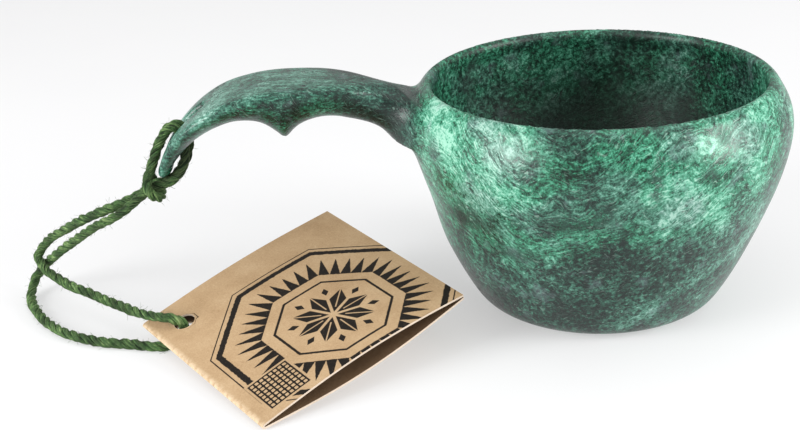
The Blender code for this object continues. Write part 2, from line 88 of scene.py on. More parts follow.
SLOT_END_BAR = 3.9       # material left between the slot and the tip
ROOT_BLEND = 7.0         # size of the fillet between handle and bowl
FLATTENED = 1.35         # how far the wall under the handle is drawn in
EDGE_ROUND = 1.5         # rounding of the handle's edges

MESH_STEP = 1.25         # sampling grid; one subdivision follows

# ------------------------------------------------------------------------- cord
STRAND_Y = 1.36          # half distance between the two strands in the slot
HITCH_HALF = [           # far strand, from the standing part to the middle of the bight
    (-113.5, STRAND_Y, 34.5), (-111.8, STRAND_Y, 35.3),
    (-109.8, STRAND_Y, 35.8), (-107.4, STRAND_Y, 36.8),
    (-105.2, STRAND_Y, 38.8), (-103.6, STRAND_Y, 41.4),
    (-102.7, STRAND_Y, 44.2), (-102.4, STRAND_Y, 46.8),
    (-103.0, STRAND_Y, 49.2), (-104.6, STRAND_Y, 50.6),
    (-106.6, STRAND_Y, 50.2), (-108.2, STRAND_Y, 48.4),
    (-109.4, STRAND_Y, 46.3), (-110.7, STRAND_Y, 43.8),
    (-111.9, STRAND_Y, 40.9), (-112.95, 1.85, 38.6), (-113.4, 3.2, 36.9),
    (-112.9, 4.15, 35.2), (-111.6, 3.6, 33.5), (-110.8, 2.0, 32.7),
    (-110.6, 0.0, 32.5)]
NEAR_SHIFT = [           # how far the near strand lies from the far one's mirror, x and z
    (0, 0), (0, 0), (0, 0), (0, 0), (0, 0), (-0.25, 0), (-0.55, 0),
    (-0.7, 0), (-0.6, 0.05), (-0.35, 0.1), (-0.3, 0.1), (-0.35, 0.05), (-0.4, 0.05),
    (-0.3, 0), (-0.1, 0), (0, 0), (0, 0), (0, 0), (0, 0), (0, 0), (0, 0)]
LOOP = [                 # from the upper strand, round the tag's hole, and back
    (-113.9, 1.36, 34.1), (-117.4, 1.5, 32.0), (-121.7, 2.2, 30.0),
    (-127.5, 3.9, 27.3), (-133.7, 7.0, 23.9), (-140.4, 11.6, 19.3),
    (-144.5, 14.6, 16.1), (-147.2, 16.4, 13.1), (-148.4, 15.6, 11.0),
    (-147.3, 13.2, 9.6), (-145.0, 9.8, 8.8), (-141.7, 6.4, 8.2),
    (-137.9, 2.6, 7.7), (-131.9, -1.8, 7.1), (-126.3, -6.6, 6.8),
    (-121.3, -11.0, 6.8), (-117.5, -14.6, 7.0), (-113.9, -17.8, 7.5),
    (-110.7, -20.1, 8.0), (-107.9, -21.2, 7.9), (-106.1, -20.9, 6.8),
    (-105.35, -20.3, 5.2), (-105.2, -20.2, 3.8), (-105.8, -20.7, 2.45),
    (-107.4, -21.8, 1.6), (-109.6, -22.6, 1.28), (-112.2, -22.7, 1.25),
    (-115.4, -21.9, 1.25), (-119.6, -20.5, 1.25),
    (-124.3, -19.5, 1.3), (-128.4, -17.8, 1.3), (-132.6, -15.6, 1.3),
    (-137.0, -12.5, 1.3), (-141.3, -8.0, 1.3), (-145.2, -2.4, 1.3),
    (-148.4, 3.6, 1.3), (-150.5, 9.6, 1.4), (-151.0, 14.2, 2.3),
    (-150.1, 17.0, 4.5), (-147.9, 16.9, 7.3), (-144.6, 14.3, 10.6),
    (-139.9, 10.9, 14.9), (-134.5, 7.0, 19.4), (-129.4, 3.4, 23.4),
    (-124.3, 0.6, 26.6), (-118.6, -1.25, 30.6), (-113.9, -1.36, 34.1)]

# -------------------------------------------------------------------------- tag
TAG_B = Vector((-83.0, -63.8, 0.95))     # near corner, on the fold
TAG_L = Vector((-116.1, -16.3, 4.0))     # left corner, on the fold
TAG_R = Vector((-36.1, -32.3, 14.9))     # right corner, on the free edge
TAG_SIDE = 58.0
CARD_T = 0.5
FOLD_GAP = 0.36          # leaf middle to the fold plane, along the fold
FRONT_BOW = (1.9, 1.25)  # rise of the front leaf at the near and far ends
FRONT_LIFT = 1.2         # extra lift of the front leaf's far free corner
BACK_BOW = (2.3, 1.9)    # drop of the back leaf at the near and far ends
HOLE_R = 2.7
HOLE_U = 9.3             # hole centre from the far end of the fold
HOLE_S = 7.3             # hole centre from the fold



# ===================================================================== geometry
def spline(points, count):
    """Natural cubic through the points, read at even steps of its length."""
    p = np.array(points, float)
    t = np.concatenate([[0.0], np.cumsum(np.linalg.norm(np.diff(p, axis=0), axis=1))])
    n = len(p)
    h = np.diff(t)
    a = np.zeros((n, n))
    b = np.zeros_like(p)
    a[0, 0] = a[-1, -1] = 1.0
    for i in range(1, n - 1):
        a[i, i - 1] = h[i - 1]
        a[i, i] = 2.0 * (h[i - 1] + h[i])
        a[i, i + 1] = h[i]
        b[i] = 6.0 * ((p[i + 1] - p[i]) / h[i] - (p[i] - p[i - 1]) / h[i - 1])
    m = np.linalg.solve(a, b)

    def read(q):
        i = np.clip(np.searchsorted(t, q, side='right') - 1, 0, n - 2)
        u = q - t[i]
        hi = h[i]
        u = u[:, None]
        hi = hi[:, None]
        return (m[i] * (hi - u) ** 3 / (6 * hi) + m[i + 1] * u ** 3 / (6 * hi)
                + (p[i] / hi - m[i] * hi / 6) * (hi - u)
                + (p[i + 1] / hi - m[i + 1] * hi / 6) * u)

    fine = read(np.linspace(0, t[-1], 40 * n))
    arc = np.concatenate([[0.0], np.cumsum(np.linalg.norm(np.diff(fine, axis=0), axis=1))])
    want = np.linspace(0, arc[-1], count)
    return np.stack([np.interp(want, arc, fine[:, k]) for k in range(p.shape[1])], 1)


def polygon_distance(px, pz, poly):
    """Signed distance of points to a closed polygon, negative inside."""
    a = poly
    b = np.roll(poly, -1, axis=0)
    best = np.full(px.shape, 1e9)
    inside = np.zeros(px.shape, bool)
    for (ax, az), (bx, bz) in zip(a, b):
        dx, dz = bx - ax, bz - az
        ll = dx * dx + dz * dz
        if ll < 1e-18:
            continue
        t = np.clip(((px - ax) * dx + (pz - az) * dz) / ll, 0, 1)
        best = np.minimum(best, (px - ax - t * dx) ** 2 + (pz - az - t * dz) ** 2)
        if dz != 0:
            cross = ((az > pz) != (bz > pz)) & (px < (bx - ax) * (pz - az) / dz + ax)
            inside ^= cross
    d = np.sqrt(best)
    return np.where(inside, -d, d)


class Table:
    """Values on an even 2-D grid, read between the grid points."""

    def __init__(self, lo, hi, step, values):
        self.lo, self.step, self.v = lo, step, values

    def read(self, x, y):
        fx = np.clip((x - self.lo[0]) / self.step, 0, self.v.shape[0] - 1.001)
        fy = np.clip((y - self.lo[1]) / self.step, 0, self.v.shape[1] - 1.001)
        i = fx.astype(int)
        j = fy.astype(int)
        fx = fx - i
        fy = fy - j
        v = self.v
        return ((v[i, j] * (1 - fx) + v[i + 1, j] * fx) * (1 - fy)
                + (v[i, j + 1] * (1 - fx) + v[i + 1, j + 1] * fx) * fy)


def grid2(lo, hi, step):
    xs = np.arange(lo[0], hi[0] + step / 2, step)
    ys = np.arange(lo[1], hi[1] + step / 2, step)
    return np.meshgrid(xs, ys, indexing='ij')


def smooth_min(a, b, k):
    h = np.maximum(k - np.abs(a - b), 0.0) / k
    return np.minimum(a, b) - h * h * h * k / 6.0


def smooth_max(a, b, k):
    return -smooth_min(-a, -b, k)


# ================================================================== cup surface
class Cup:
    """The cup's surface as the zero level of one field, in millimetres."""

    def __init__(self):
        outer = spline(BOWL_OUTER, 160)
        inner = spline(BOWL_INNER, 140)
        top = LIP_TOP
        solid = np.concatenate([[[-6.0, 0.0]], outer, [[-6.0, top]]])
        hollow = np.concatenate([[[-6.0, FLOOR_Z]], [[0.0, FLOOR_Z]], inner,
                                 [[LIP_R + 0.001, top + 12.0]], [[-6.0, top + 12.0]]])
        lo, hi, st = (0.0, -8.0), (112.0, 70.0), 0.25
        gx, gz = grid2(lo, hi, st)
        near = gx < 62.0
        so = np.full(gx.shape, 20.0)
        ho = np.full(gx.shape, 20.0)
        so[near] = polygon_distance(gx[near], gz[near], solid)
        ho[near] = polygon_distance(gx[near], gz[near], hollow)
        so[~near] = gx[~near] - 47.5
        ho[~near] = gx[~near] - 42.3
        self.solid = Table(lo, hi, st, so)
        self.hollow = Table(lo, hi, st, ho)

        ridge = spline(RIDGE, 500)
        arc = np.concatenate([[0.0], np.cumsum(np.linalg.norm(np.diff(ridge, axis=0), axis=1))])
        self.length = arc[-1]
        # run the ridge on past both ends along its end tangents
        t0 = ridge[0] - ridge[1]
        t0 /= np.linalg.norm(t0)
        t1 = ridge[-1] - ridge[-2]
        t1 /= np.linalg.norm(t1)
        ext = np.linspace(0.4, 14, 35)
        full = np.concatenate([ridge[0] + t0 * ext[::-1, None], ridge, ridge[-1] + t1 * ext[:, None]])
        sarc = np.concatenate([-ext[::-1], arc, arc[-1] + ext])
        lo, hi, st = (-122.0, 22.0), (-34.0, 72.0), 0.25
        gx, gz = grid2(lo, hi, st)
        s = np.zeros(gx.shape)
        nrm = np.zeros(gx.shape)
        seg = np.diff(full, axis=0)
        sl = np.linalg.norm(seg, axis=1)
        tang = seg / sl[:, None]
        for i in range(gx.shape[0]):
            qx = gx[i][:, None] - full[:-1, 0]
            qz = gz[i][:, None] - full[:-1, 1]
            t = np.clip(qx * tang[:, 0] + qz * tang[:, 1], 0, sl)
            dx = qx - t * tang[:, 0]
            dz = qz - t * tang[:, 1]
            d2 = dx * dx + dz * dz
            k = d2.argmin(1)
            r = np.arange(len(k))
            side = -(tang[k, 0] * qz[r, k] - tang[k, 1] * qx[r, k])
            s[i] = sarc[k] + t[r, k]
            nrm[i] = np.sign(side) * np.sqrt(d2[r, k])
        self.s = Table(lo, hi, st, s)
        self.n = Table(lo, hi, st, nrm)

        # half width and depth along the ridge
        at = [arc[np.argmin(np.hypot(ridge[:, 0] - x, ridge[:, 1] - z))] for x, z in RIDGE]
        wide = spline(list(zip(at, WIDTH)), 400)
        deep_at = [float(np.interp(-x, -ridge[:, 0], arc)) for x, _ in DEPTH]
        self.deep_s, self.deep = np.array(deep_at), np.array([d for _, d in DEPTH])
        dense = spline(list(zip(deep_at, self.deep)), 900)
        self.deep_s, self.deep = dense[:, 0], dense[:, 1]
        keep = np.concatenate([[True], np.diff(self.deep_s) > 0])
        self.deep_s, self.deep = self.deep_s[keep], self.deep[keep]
        self.wide_s, self.wide = wide[:, 0], np.maximum(wide[:, 1], 0.0)

        # outline of the tongue seen square to its top face
        tip = self.length
        up = [(a, w) for a, w in zip(self.wide_s, self.wide) if a < at[-2]]
        end_w = float(np.interp(at[-2], self.wide_s, self.wide))
        rem = tip - at[-2]
        # a rounded end that leaves the last width square to it
        ang = np.linspace(0, math.pi / 2, 24)
        ends = [(at[-2] + rem * math.sin(q), end_w * math.cos(q) ** 0.8) for q in ang]
        half = np.array(up + ends)
        poly = np.concatenate([[[0.0, -9.0]], [[0.0, half[0, 1]]], half[1:], [[tip, -9.0]]])
        lo, hi, st = (-14.0, 0.0), (self.length + 14.0, 60.0), 0.25
        gs, gy = grid2(lo, hi, st)
        self.plan = Table(lo, hi, st, polygon_distance(gs, gy, poly))
        k = arc[np.argmin(np.abs(ridge[:, 0] - SLOT_START_X))]
        self.slot = (k + SLOT_HALF, self.length - SLOT_END_BAR - SLOT_HALF)

    def field(self, x, y, z):
        r = np.sqrt(x * x + y * y)
        body = self.solid.read(r, z)
        hole = self.hollow.read(r, z)
        # the wall is a little flatter under the handle
        w = np.clip((-x / np.maximum(r, 1.0) - 0.55) / 0.40, 0, 1)
        v = np.clip((z - 17.0) / 15.0, 0, 1)
        w = w * w * (3 - 2 * w) * v * v * (3 - 2 * v)
        v = np.clip((56.5 - z) / 11.0, 0, 1)
        body = body + FLATTENED * w * v * v * (3 - 2 * v)
        out = np.array(body)
        m = (x < -36.0) & (np.abs(y) < 34.0) & (z > 23.0)
        if m.any():
            out[m] = self.with_handle(x[m], y[m], z[m], body[m])
        return np.maximum(out, -hole)

    def with_handle(self, x, y, z, body):
        s = self.s.read(x, z)
        n = self.n.read(x, z)
        ay = np.abs(y)
        plan = self.plan.read(s, ay)
        hw = np.maximum(np.interp(s, self.wide_s, self.wide), 5.0)
        dep = np.interp(s, self.deep_s, self.deep)
        a = np.maximum(1.0 + plan / hw, 0.0)
        d = np.maximum(-n, 0.0)
        b = d / dep
        p, q = 2.5, 1.9
        rho = np.maximum(a ** p + b ** q, 1e-9)
        e = 1.0 / 2.2
        val = rho ** e
        ga = e * rho ** (e - 1) * p * a ** (p - 1) / hw
        gb = e * rho ** (e - 1) * q * np.maximum(b, 1e-6) ** (q - 1) / dep
        slope = np.interp(s + 0.25, self.deep_s, self.deep) - np.interp(s - 0.25, self.deep_s, self.deep)
        gs = gb * b * slope * 2.0
        grad = np.sqrt(ga * ga + gb * gb + gs * gs)
        side = (val - 1.0) / np.maximum(grad, 1.0 / (1.6 * np.maximum(hw, dep)))
        crown = CROWN * (1.0 - np.minimum(a, 1.2) ** 2)
        neck = np.clip((s - 6.0) / 14.0, 0, 1)
        neck = neck * neck * (3 - 2 * neck)
        k = EDGE_ROUND * 2.2 + (1 - neck) * 7.0
        top = n - crown - (1 - neck) * 0.9
        h = smooth_max(top, side, k)
        h = np.maximum(h, -s)
        c0, c1 = self.slot
        t = np.clip(s, c0, c1)
        slot = np.sqrt((s - t) ** 2 + y * y) - SLOT_HALF
        h = smooth_max(h, -slot, 2.0)
        # a wide fillet under the handle, a tight one beside the lip, none on it
        low = np.clip((58.0 - z) / 14.0, 0, 1)
        low = low * low * (3 - 2 * low)
        joined = smooth_min(body, h, ROOT_BLEND * (0.5 + 1.25 * low))
        lip = np.sqrt((np.sqrt(x * x + y * y) - LIP_R) ** 2 + (z - LIP_TOP) ** 2)
        fade = np.clip((lip - 1.0) / 4.0, 0, 1)
        fade = fade * fade * (3 - 2 * fade)
        return body + (np.minimum(joined, body) - body) * fade

    def gradient(self, p, e=0.05):
        g = np.zeros_like(p)
        for k in range(3):
            q = p.copy()
            q[:, k] += e
            r = p.copy()
            r[:, k] -= e
            g[:, k] = (self.field(*q.T) - self.field(*r.T)) / (2 * e)
        return g

    def surface(self, step, shift=0.137):
        """Closed quad mesh of the zero level, its points moved onto the level."""
        lo = np.array([-113.5, -50.0, -2.13])
        hi = np.array([50.0, 50.0, 63.5])
        ax = [np.arange(lo[k] + shift * step, hi[k] + step, step) for k in range(3)]
        f = np.empty([len(a) for a in ax])
        gy, gz = np.meshgrid(ax[1], ax[2], indexing='ij')
        for i, x in enumerate(ax[0]):
            f[i] = self.field(np.full(gy.shape, x).ravel(), gy.ravel(), gz.ravel()).reshape(gy.shape)
        neg = f < 0
        nx, ny, nz = f.shape
        acc = np.zeros((nx - 1, ny - 1, nz - 1, 3))
        cnt = np.zeros((nx - 1, ny - 1, nz - 1))
        edges = []
        for k in range(3):
            sl0 = [slice(None)] * 3
            sl1 = [slice(None)] * 3
            sl0[k] = slice(0, -1)
            sl1[k] = slice(1, None)
            cross = neg[tuple(sl0)] != neg[tuple(sl1)]
            idx = np.argwhere(cross)
            f0 = f[tuple(sl0)][cross]
            f1 = f[tuple(sl1)][cross]
            t = f0 / (f0 - f1)
            pos = idx.astype(float)
            pos[:, k] += t
            edges.append((k, idx, neg[tuple(sl0)][cross]))
            o = [q for q in range(3) if q != k]
            for da in (0, -1):
                for db in (0, -1):
                    c = idx.copy()
                    c[:, o[0]] += da
                    c[:, o[1]] += db
                    ok = ((c >= 0) & (c < np.array([nx - 1, ny - 1, nz - 1]))).all(1)
                    c = c[ok]
                    np.add.at(acc, tuple(c.T), pos[ok])
                    np.add.at(cnt, tuple(c.T), 1)
        live = cnt > 0
        number = np.full(live.shape, -1)
        number[live] = np.arange(live.sum())
        verts = acc[live] / cnt[live][:, None]
        start = np.array([a[0] for a in ax])
        verts = start + verts * step
        faces = []
        for k, idx, first in edges:
            o = [(k + 1) % 3, (k + 2) % 3]
            quad = []
            for da, db in ((-1, -1), (0, -1), (0, 0), (-1, 0)):
                c = idx.copy()
                c[:, o[0]] += da
                c[:, o[1]] += db
                quad.append(number[tuple(c.T)])
            quad = np.stack(quad, 1)
            quad[~first] = quad[~first][:, ::-1]
            faces.append(quad)
        faces = np.concatenate(faces)
        for _ in range(3):
            g = self.gradient(verts)
            gg = np.maximum((g * g).sum(1), 0.05)
            move = -(self.field(*verts.T) / gg)[:, None] * g
            move = np.clip(move, -0.5 * step, 0.5 * step)
            verts = verts + move
        return verts, faces


def hitch_points():
    """Far strand up through the slot and over the tip, the bight, the near one back."""
    near = [(x + dx, -y, z + dz) for (x, y, z), (dx, dz) in zip(HITCH_HALF, NEAR_SHIFT)]
    return list(HITCH_HALF) + near[:-1][::-1]



# ======================================================================= camera
def make_camera():
    data = bpy.data.cameras.new('camera')
    data.sensor_fit = 'HORIZONTAL'
    data.sensor_width = 36.0
    data.lens = 63.005
    data.shift_x = 0.0
    data.shift_y = -0.29 / 800.0
    data.clip_start = 0.02
    data.clip_end = 20.0
    cam = bpy.data.objects.new('camera', data)
    bpy.context.scene.collection.objects.link(cam)
    cam.matrix_world = (Matrix.Translation((-0.05044, -0.33198, 0.15946))
                        @ Matrix.Rotation(math.radians(90.0 - 22.255), 4, 'X')
                        @ Matrix.Rotation(math.radians(-3.119), 4, 'Z'))
    bpy.context.scene.camera = cam
    return cam


# ================================================================ node shorthand
class Net:
    """A material's node tree, written as expressions."""

    def __init__(self, name):
        self.mat = bpy.data.materials.new(name)
        self.mat.use_nodes = True
        self.tree = self.mat.node_tree
        self.tree.nodes.clear()
        self.out = self.tree.nodes.new('ShaderNodeOutputMaterial')
        self.bsdf = self.tree.nodes.new('ShaderNodeBsdfPrincipled')
        self.tree.links.new(self.bsdf.outputs['BSDF'], self.out.inputs['Surface'])

    def put(self, socket, value):
        if isinstance(value, bpy.types.NodeSocket):
            self.tree.links.new(value, socket)
        elif value is not None:
            socket.default_value = value

    def object_mm(self):
        n = self.tree.nodes.new('ShaderNodeTexCoord')
        return self.scale(n.outputs['Object'], 1000.0)

    def attribute(self, name, kind='Vector'):
        n = self.tree.nodes.new('ShaderNodeAttribute')
        n.attribute_name = name
        return n.outputs[kind]

    def math(self, op, a, b=None, c=None, clamp=False):
        n = self.tree.nodes.new('ShaderNodeMath')
        n.operation = op
        n.use_clamp = clamp
        self.put(n.inputs[0], a)
        if b is not None:
            self.put(n.inputs[1], b)
        if c is not None:
            self.put(n.inputs[2], c)
        return n.outputs[0]

    def add(self, a, b):
        return self.math('ADD', a, b)

    def sub(self, a, b):
        return self.math('SUBTRACT', a, b)

    def mul(self, a, b):
        return self.math('MULTIPLY', a, b)

    def vmath(self, op, a, b=None, scale=None):
        n = self.tree.nodes.new('ShaderNodeVectorMath')
        n.operation = op
        self.put(n.inputs[0], a)
        if b is not None:
            self.put(n.inputs[1], b)
        if scale is not None:
            self.put(n.inputs['Scale'], scale)
        return n.outputs['Value'] if op in ('DISTANCE', 'LENGTH', 'DOT_PRODUCT') else n.outputs[0]

    def scale(self, v, k):
        return self.vmath('SCALE', v, scale=k)

    def stretch(self, v, k):
        return self.vmath('MULTIPLY', v, k)

    def split(self, v):
        n = self.tree.nodes.new('ShaderNodeSeparateXYZ')
        self.put(n.inputs[0], v)
        return n.outputs[0], n.outputs[1], n.outputs[2]

    def join(self, x, y, z):
        n = self.tree.nodes.new('ShaderNodeCombineXYZ')
        self.put(n.inputs[0], x)
        self.put(n.inputs[1], y)
        self.put(n.inputs[2], z)
        return n.outputs[0]

    def noise(self, v, scale=1.0, detail=2.0, rough=0.5, warp=0.0, color=False):
        n = self.tree.nodes.new('ShaderNodeTexNoise')
        n.noise_dimensions = '3D'
        self.put(n.inputs['Vector'], v)
        n.inputs['Scale'].default_value = scale
        n.inputs['Detail'].default_value = detail
        n.inputs['Roughness'].default_value = rough
        n.inputs['Distortion'].default_value = warp
        return n.outputs['Color' if color else 'Fac']

    def push(self, v, scale, amount, detail=1.0):
        """The vector moved about by a noise of that scale."""
        c = self.noise(v, scale, detail, color=True)
        c = self.vmath('SUBTRACT', c, (0.5, 0.5, 0.5))
        return self.vmath('ADD', v, self.scale(c, amount))

    def voronoi(self, v, scale, feature='F1', random=1.0):
        n = self.tree.nodes.new('ShaderNodeTexVoronoi')
        n.feature = feature
        self.put(n.inputs['Vector'], v)
        n.inputs['Scale'].default_value = scale
        n.inputs['Randomness'].default_value = random
        return n.outputs['Distance']

    def smooth(self, x, lo, hi, a=0.0, b=1.0, kind='SMOOTHSTEP'):
        n = self.tree.nodes.new('ShaderNodeMapRange')
        n.interpolation_type = kind
        n.clamp = True if kind == 'LINEAR' else n.clamp
        self.put(n.inputs['Value'], x)
        n.inputs['From Min'].default_value = lo
        n.inputs['From Max'].default_value = hi
        n.inputs['To Min'].default_value = a
        n.inputs['To Max'].default_value = b
        return n.outputs['Result']

    def ramp(self, x, stops, kind='LINEAR'):
        n = self.tree.nodes.new('ShaderNodeValToRGB')
        n.color_ramp.interpolation = kind
        el = n.color_ramp.elements
        while len(el) > 1:
            el.remove(el[-1])
        el[0].position = stops[0][0]
        el[0].color = (*stops[0][1], 1.0)
        for pos, col in stops[1:]:
            e = el.new(pos)
            e.color = (*col, 1.0)
        self.put(n.inputs[0], x)
        return n.outputs[0]

    def mix(self, f, a, b, mode='MIX'):
        n = self.tree.nodes.new('ShaderNodeMix')
        n.data_type = 'RGBA'
        n.blend_type = mode
        n.clamp_factor = True
        self.put(n.inputs[0], f)
        self.put(n.inputs[6], (*a, 1.0) if isinstance(a, tuple) else a)
        self.put(n.inputs[7], (*b, 1.0) if isinstance(b, tuple) else b)
        return n.outputs[2]

    def blob(self, p, at, inner, outer, squash=(1.0, 1.0, 1.0)):
        """1 near a point, 0 away from it."""
        q = self.stretch(self.vmath('SUBTRACT', p, at), squash)
        return self.smooth(self.vmath('LENGTH', q), inner, outer, 1.0, 0.0)

    def bump(self, height, strength, distance_mm, normal=None):
        n = self.tree.nodes.new('ShaderNodeBump')
        n.inputs['Strength'].default_value = strength
        n.inputs['Distance'].default_value = distance_mm * MM
        self.put(n.inputs['Height'], height)
        if normal is not None:
            self.put(n.inputs['Normal'], normal)
        return n.outputs[0]


# ================================================================ cup material
def cup_material():
    n = Net('marbled_composite')
    p = n.object_mm()
    x, y, z = n.split(p)
    zone = n.attribute('zone')            # inside the bowl, on the handle, below its top face
    inside, handle, under = n.split(zone)
    outside = n.sub(1.0, inside)

    def about(v, k):
        """A noise value opened out about its middle."""
        return n.mul(n.sub(v, 0.5), k)

    # the melt flowed out from the handle's root: strokes fall away on its side
    # and climb again further round
    xs = n.add(x, 18.0)
    fall = n.sub(n.mul(n.math('SQRT', n.add(n.mul(xs, xs), 36.0)), 0.675), n.mul(xs, 0.225))
    flow = n.join(x, y, n.sub(z, fall))
    flow = n.push(flow, 1 / 15.0, 13.0, 2.0)
    flow = n.push(flow, 1 / 4.2, 2.6, 1.0)
    stroke = n.noise(n.stretch(flow, (0.30, 0.30, 1.9)), 1.0, 2.0, 0.6)
    streak = n.noise(n.stretch(flow, (0.075, 0.075, 0.42)), 1.0, 3.0, 0.6)
    worm = n.noise(n.push(p, 1 / 1.9, 1.5, 1.0), 0.85, 3.0, 0.66)
    grain = n.noise(p, 2.1, 2.0, 0.7)
    cloud = n.noise(n.push(p, 1 / 17.0, 9.0), 1 / 10.0, 3.0, 0.55)
    broad = n.noise(p, 1 / 27.0, 1.0, 0.5)
    # along the handle the fibres run with it
    ph = n.push(p, 1 / 10.0, 3.4, 1.0)
    h_streak = n.noise(n.stretch(ph, (0.07, 0.42, 0.40)), 1.0, 3.0, 0.6)
    h_stroke = n.noise(n.stretch(ph, (0.34, 2.0, 2.0)), 1.0, 2.0, 0.62)

    def pick(a, b, f):
        return n.add(n.mul(a, n.sub(1.0, f)), n.mul(b, f))

    streak = pick(streak, h_streak, handle)
    stroke = pick(stroke, h_stroke, handle)
    edge = n.add(z, n.add(about(cloud, 26.0), n.mul(x, -0.20)))
    low = n.mul(n.smooth(edge, 37.0, 24.0), n.mul(n.sub(1.0, handle), outside))
    calm = n.math('MAXIMUM', low, inside)

    tone = n.add(0.415, about(stroke, 0.95))
    tone = n.add(tone, n.mul(about(stroke, -0.75), calm))
    tone = n.add(tone, n.mul(about(worm, 1.35), n.add(0.70, n.mul(calm, 0.55))))
    tone = n.add(tone, about(grain, 0.80))
    tone = n.add(tone, n.mul(about(streak, 0.55), n.sub(1.0, n.mul(calm, 0.7))))
    tone = n.add(tone, about(cloud, 0.95))
    tone = n.add(tone, about(broad, 0.45))

    # painted highlight: the left shoulder and the right side are made paler, partly paler pattern and partly the side
    # lamps' reflections; the handle's root is a little paler too
    shoulder = n.blob(p, (-32.5, -31.0, 50.0), 3.0, 21.0, (0.85, 0.75, 0.80))
    root = n.blob(p, (-41.0, -14.0, 52.0), 2.0, 15.0, (1.0, 0.8, 1.0))
    right = n.blob(p, (26.0, -40.0, 46.0), 3.0, 26.0, (0.8, 0.7, 1.0))
    tone = n.add(tone, n.mul(shoulder, 0.29))
    tone = n.add(tone, n.mul(root, 0.12))
    tone = n.add(tone, n.mul(right, 0.22))
    tone = n.add(tone, n.mul(low, -0.13))
    # mint streaks low on the right, where a paler flow ends
    mint = n.smooth(n.math('ABSOLUTE', n.sub(n.add(z, about(cloud, 12.0)), n.add(5.0, n.mul(x, 0.62)))), 4.0, 0.5)
    mint = n.mul(n.mul(mint, n.smooth(x, -4.0, 8.0)), outside)
    tone = n.add(tone, n.mul(mint, 0.20))
    # painted shade darkens the neck and the handle's sides and underside, and a painted highlight lightens its crown
    neck = n.mul(n.smooth(x, -43.0, -47.5), n.smooth(x, -72.0, -56.0))
    tone = n.add(tone, n.mul(neck, -0.17))
    tone = n.add(tone, n.mul(under, -0.15))
    crown = n.mul(n.sub(1.0, under), n.mul(handle, n.smooth(x, -76.0, -92.0)))
    tone = n.add(tone, n.mul(crown, 0.10))

    green = n.ramp(tone, [(0.10, (0.002, 0.012, 0.007)), (0.28, (0.007, 0.047, 0.026)),
                          (0.44, (0.018, 0.122, 0.067)), (0.58, (0.042, 0.232, 0.136)),
                          (0.74, (0.110, 0.385, 0.255)), (0.92, (0.300, 0.600, 0.455))])
    grey = n.ramp(tone, [(0.10, (0.004, 0.013, 0.010)), (0.30, (0.013, 0.045, 0.033)),
                         (0.46, (0.034, 0.104, 0.076)), (0.60, (0.068, 0.185, 0.138)),
                         (0.76, (0.145, 0.305, 0.245)), (0.94, (0.330, 0.510, 0.440))])
    greyness = n.smooth(n.noise(n.push(p, 1 / 14.0, 8.0), 1 / 12.0, 3.0, 0.6), 0.44, 0.60)
    greyness = n.mul(greyness, 0.75)
    greyness = n.math('MAXIMUM', greyness, n.mul(low, 0.80))
    # painted light: the handle's top face is greyed as a painted reflection, the neck along with its painted shade
    greyness = n.math('MAXIMUM', greyness, n.mul(n.mul(handle, n.sub(1.0, under)), 0.85))
    greyness = n.math('MAXIMUM', greyness, neck)
    col = n.mix(greyness, green, grey)

    # lilac-grey bloom here and there
    bloom = n.mul(n.smooth(n.noise(p, 1 / 6.0, 3.0, 0.6), 0.58, 0.70), 0.30)
    col = n.mix(bloom, col, (0.150, 0.210, 0.215))

    # ragged dark marks: short broken strokes, and a few upright stains
    rag = n.smooth(n.noise(n.stretch(flow, (0.55, 0.55, 1.5)), 1.0, 3.0, 0.7), 0.50, 0.60)
    where = n.smooth(n.noise(n.push(p, 1 / 9.0, 8.0), 1 / 7.0, 2.0, 0.6), 0.56, 0.66)
    dark = n.mul(rag, where)
    for at, size, sq in (((-38.0, -27.0, 33.0), 6.5, (0.45, 0.6, 1.2)), ((-29.0, -36.5, 26.0), 5.5, (0.4, 0.6, 1.5)),
                         ((-12.0, -45.0, 37.0), 5.5, (0.40, 0.6, 1.5)), ((-5.0, -46.5, 40.0), 3.4, (1.0, 0.6, 0.8)),
                         ((6.0, -46.7, 46.5), 3.3, (1.3, 0.6, 0.42)), ((7.0, -46.2, 52.0), 2.4, (1.3, 0.6, 0.7)),
                         ((18.5, -43.6, 46.4), 2.6, (0.8, 0.6, 1.0)), ((23.0, -41.5, 55.0), 3.0, (0.8, 0.6, 0.8)),
                         ((-51.0, -8.0, 51.0), 4.5, (1.0, 0.8, 1.2))):
        dark = n.math('MAXIMUM', dark, n.mul(n.blob(p, at, size * 0.25, size, sq),
                                             n.smooth(worm, 0.40, 0.54)))
    # broad dark stains down the inside
    stain = n.smooth(n.noise(n.stretch(n.push(p, 1 / 7.0, 7.0, 2.0), (0.12, 0.12, 0.045)), 1.0, 3.0, 0.6), 0.52, 0.66)
    dark = n.math('MAXIMUM', dark, n.mul(n.mul(stain, inside), 0.75))
    col = n.mix(n.mul(dark, 0.80), col, (0.007, 0.018, 0.015))

    # pale fibre flecks
    fl = n.smooth(n.noise(n.stretch(n.push(flow, 1 / 2.5, 2.0), (0.55, 0.55, 3.4)), 1.0, 1.0, 0.5), 0.63, 0.72)
    # the flecks thicken on the shoulder and the right side: paler pattern and painted highlight
    pale = n.mul(fl, n.add(0.16, n.mul(shoulder, 0.42)))
    pale = n.add(pale, n.mul(n.mul(fl, right), 0.3))
    pale = n.mul(pale, n.sub(1.0, n.mul(inside, 0.6)))
    col = n.mix(pale, col, (0.50, 0.74, 0.62))
    # painted shade: the inside is darkened, most on the far wall
    deep = n.blob(p, (6.0, 34.0, 24.0), 12.0, 44.0, (0.9, 1.0, 1.0))
    col = n.mix(n.mul(inside, n.add(0.10, n.mul(deep, 0.80))), col, (0.001, 0.009, 0.004))

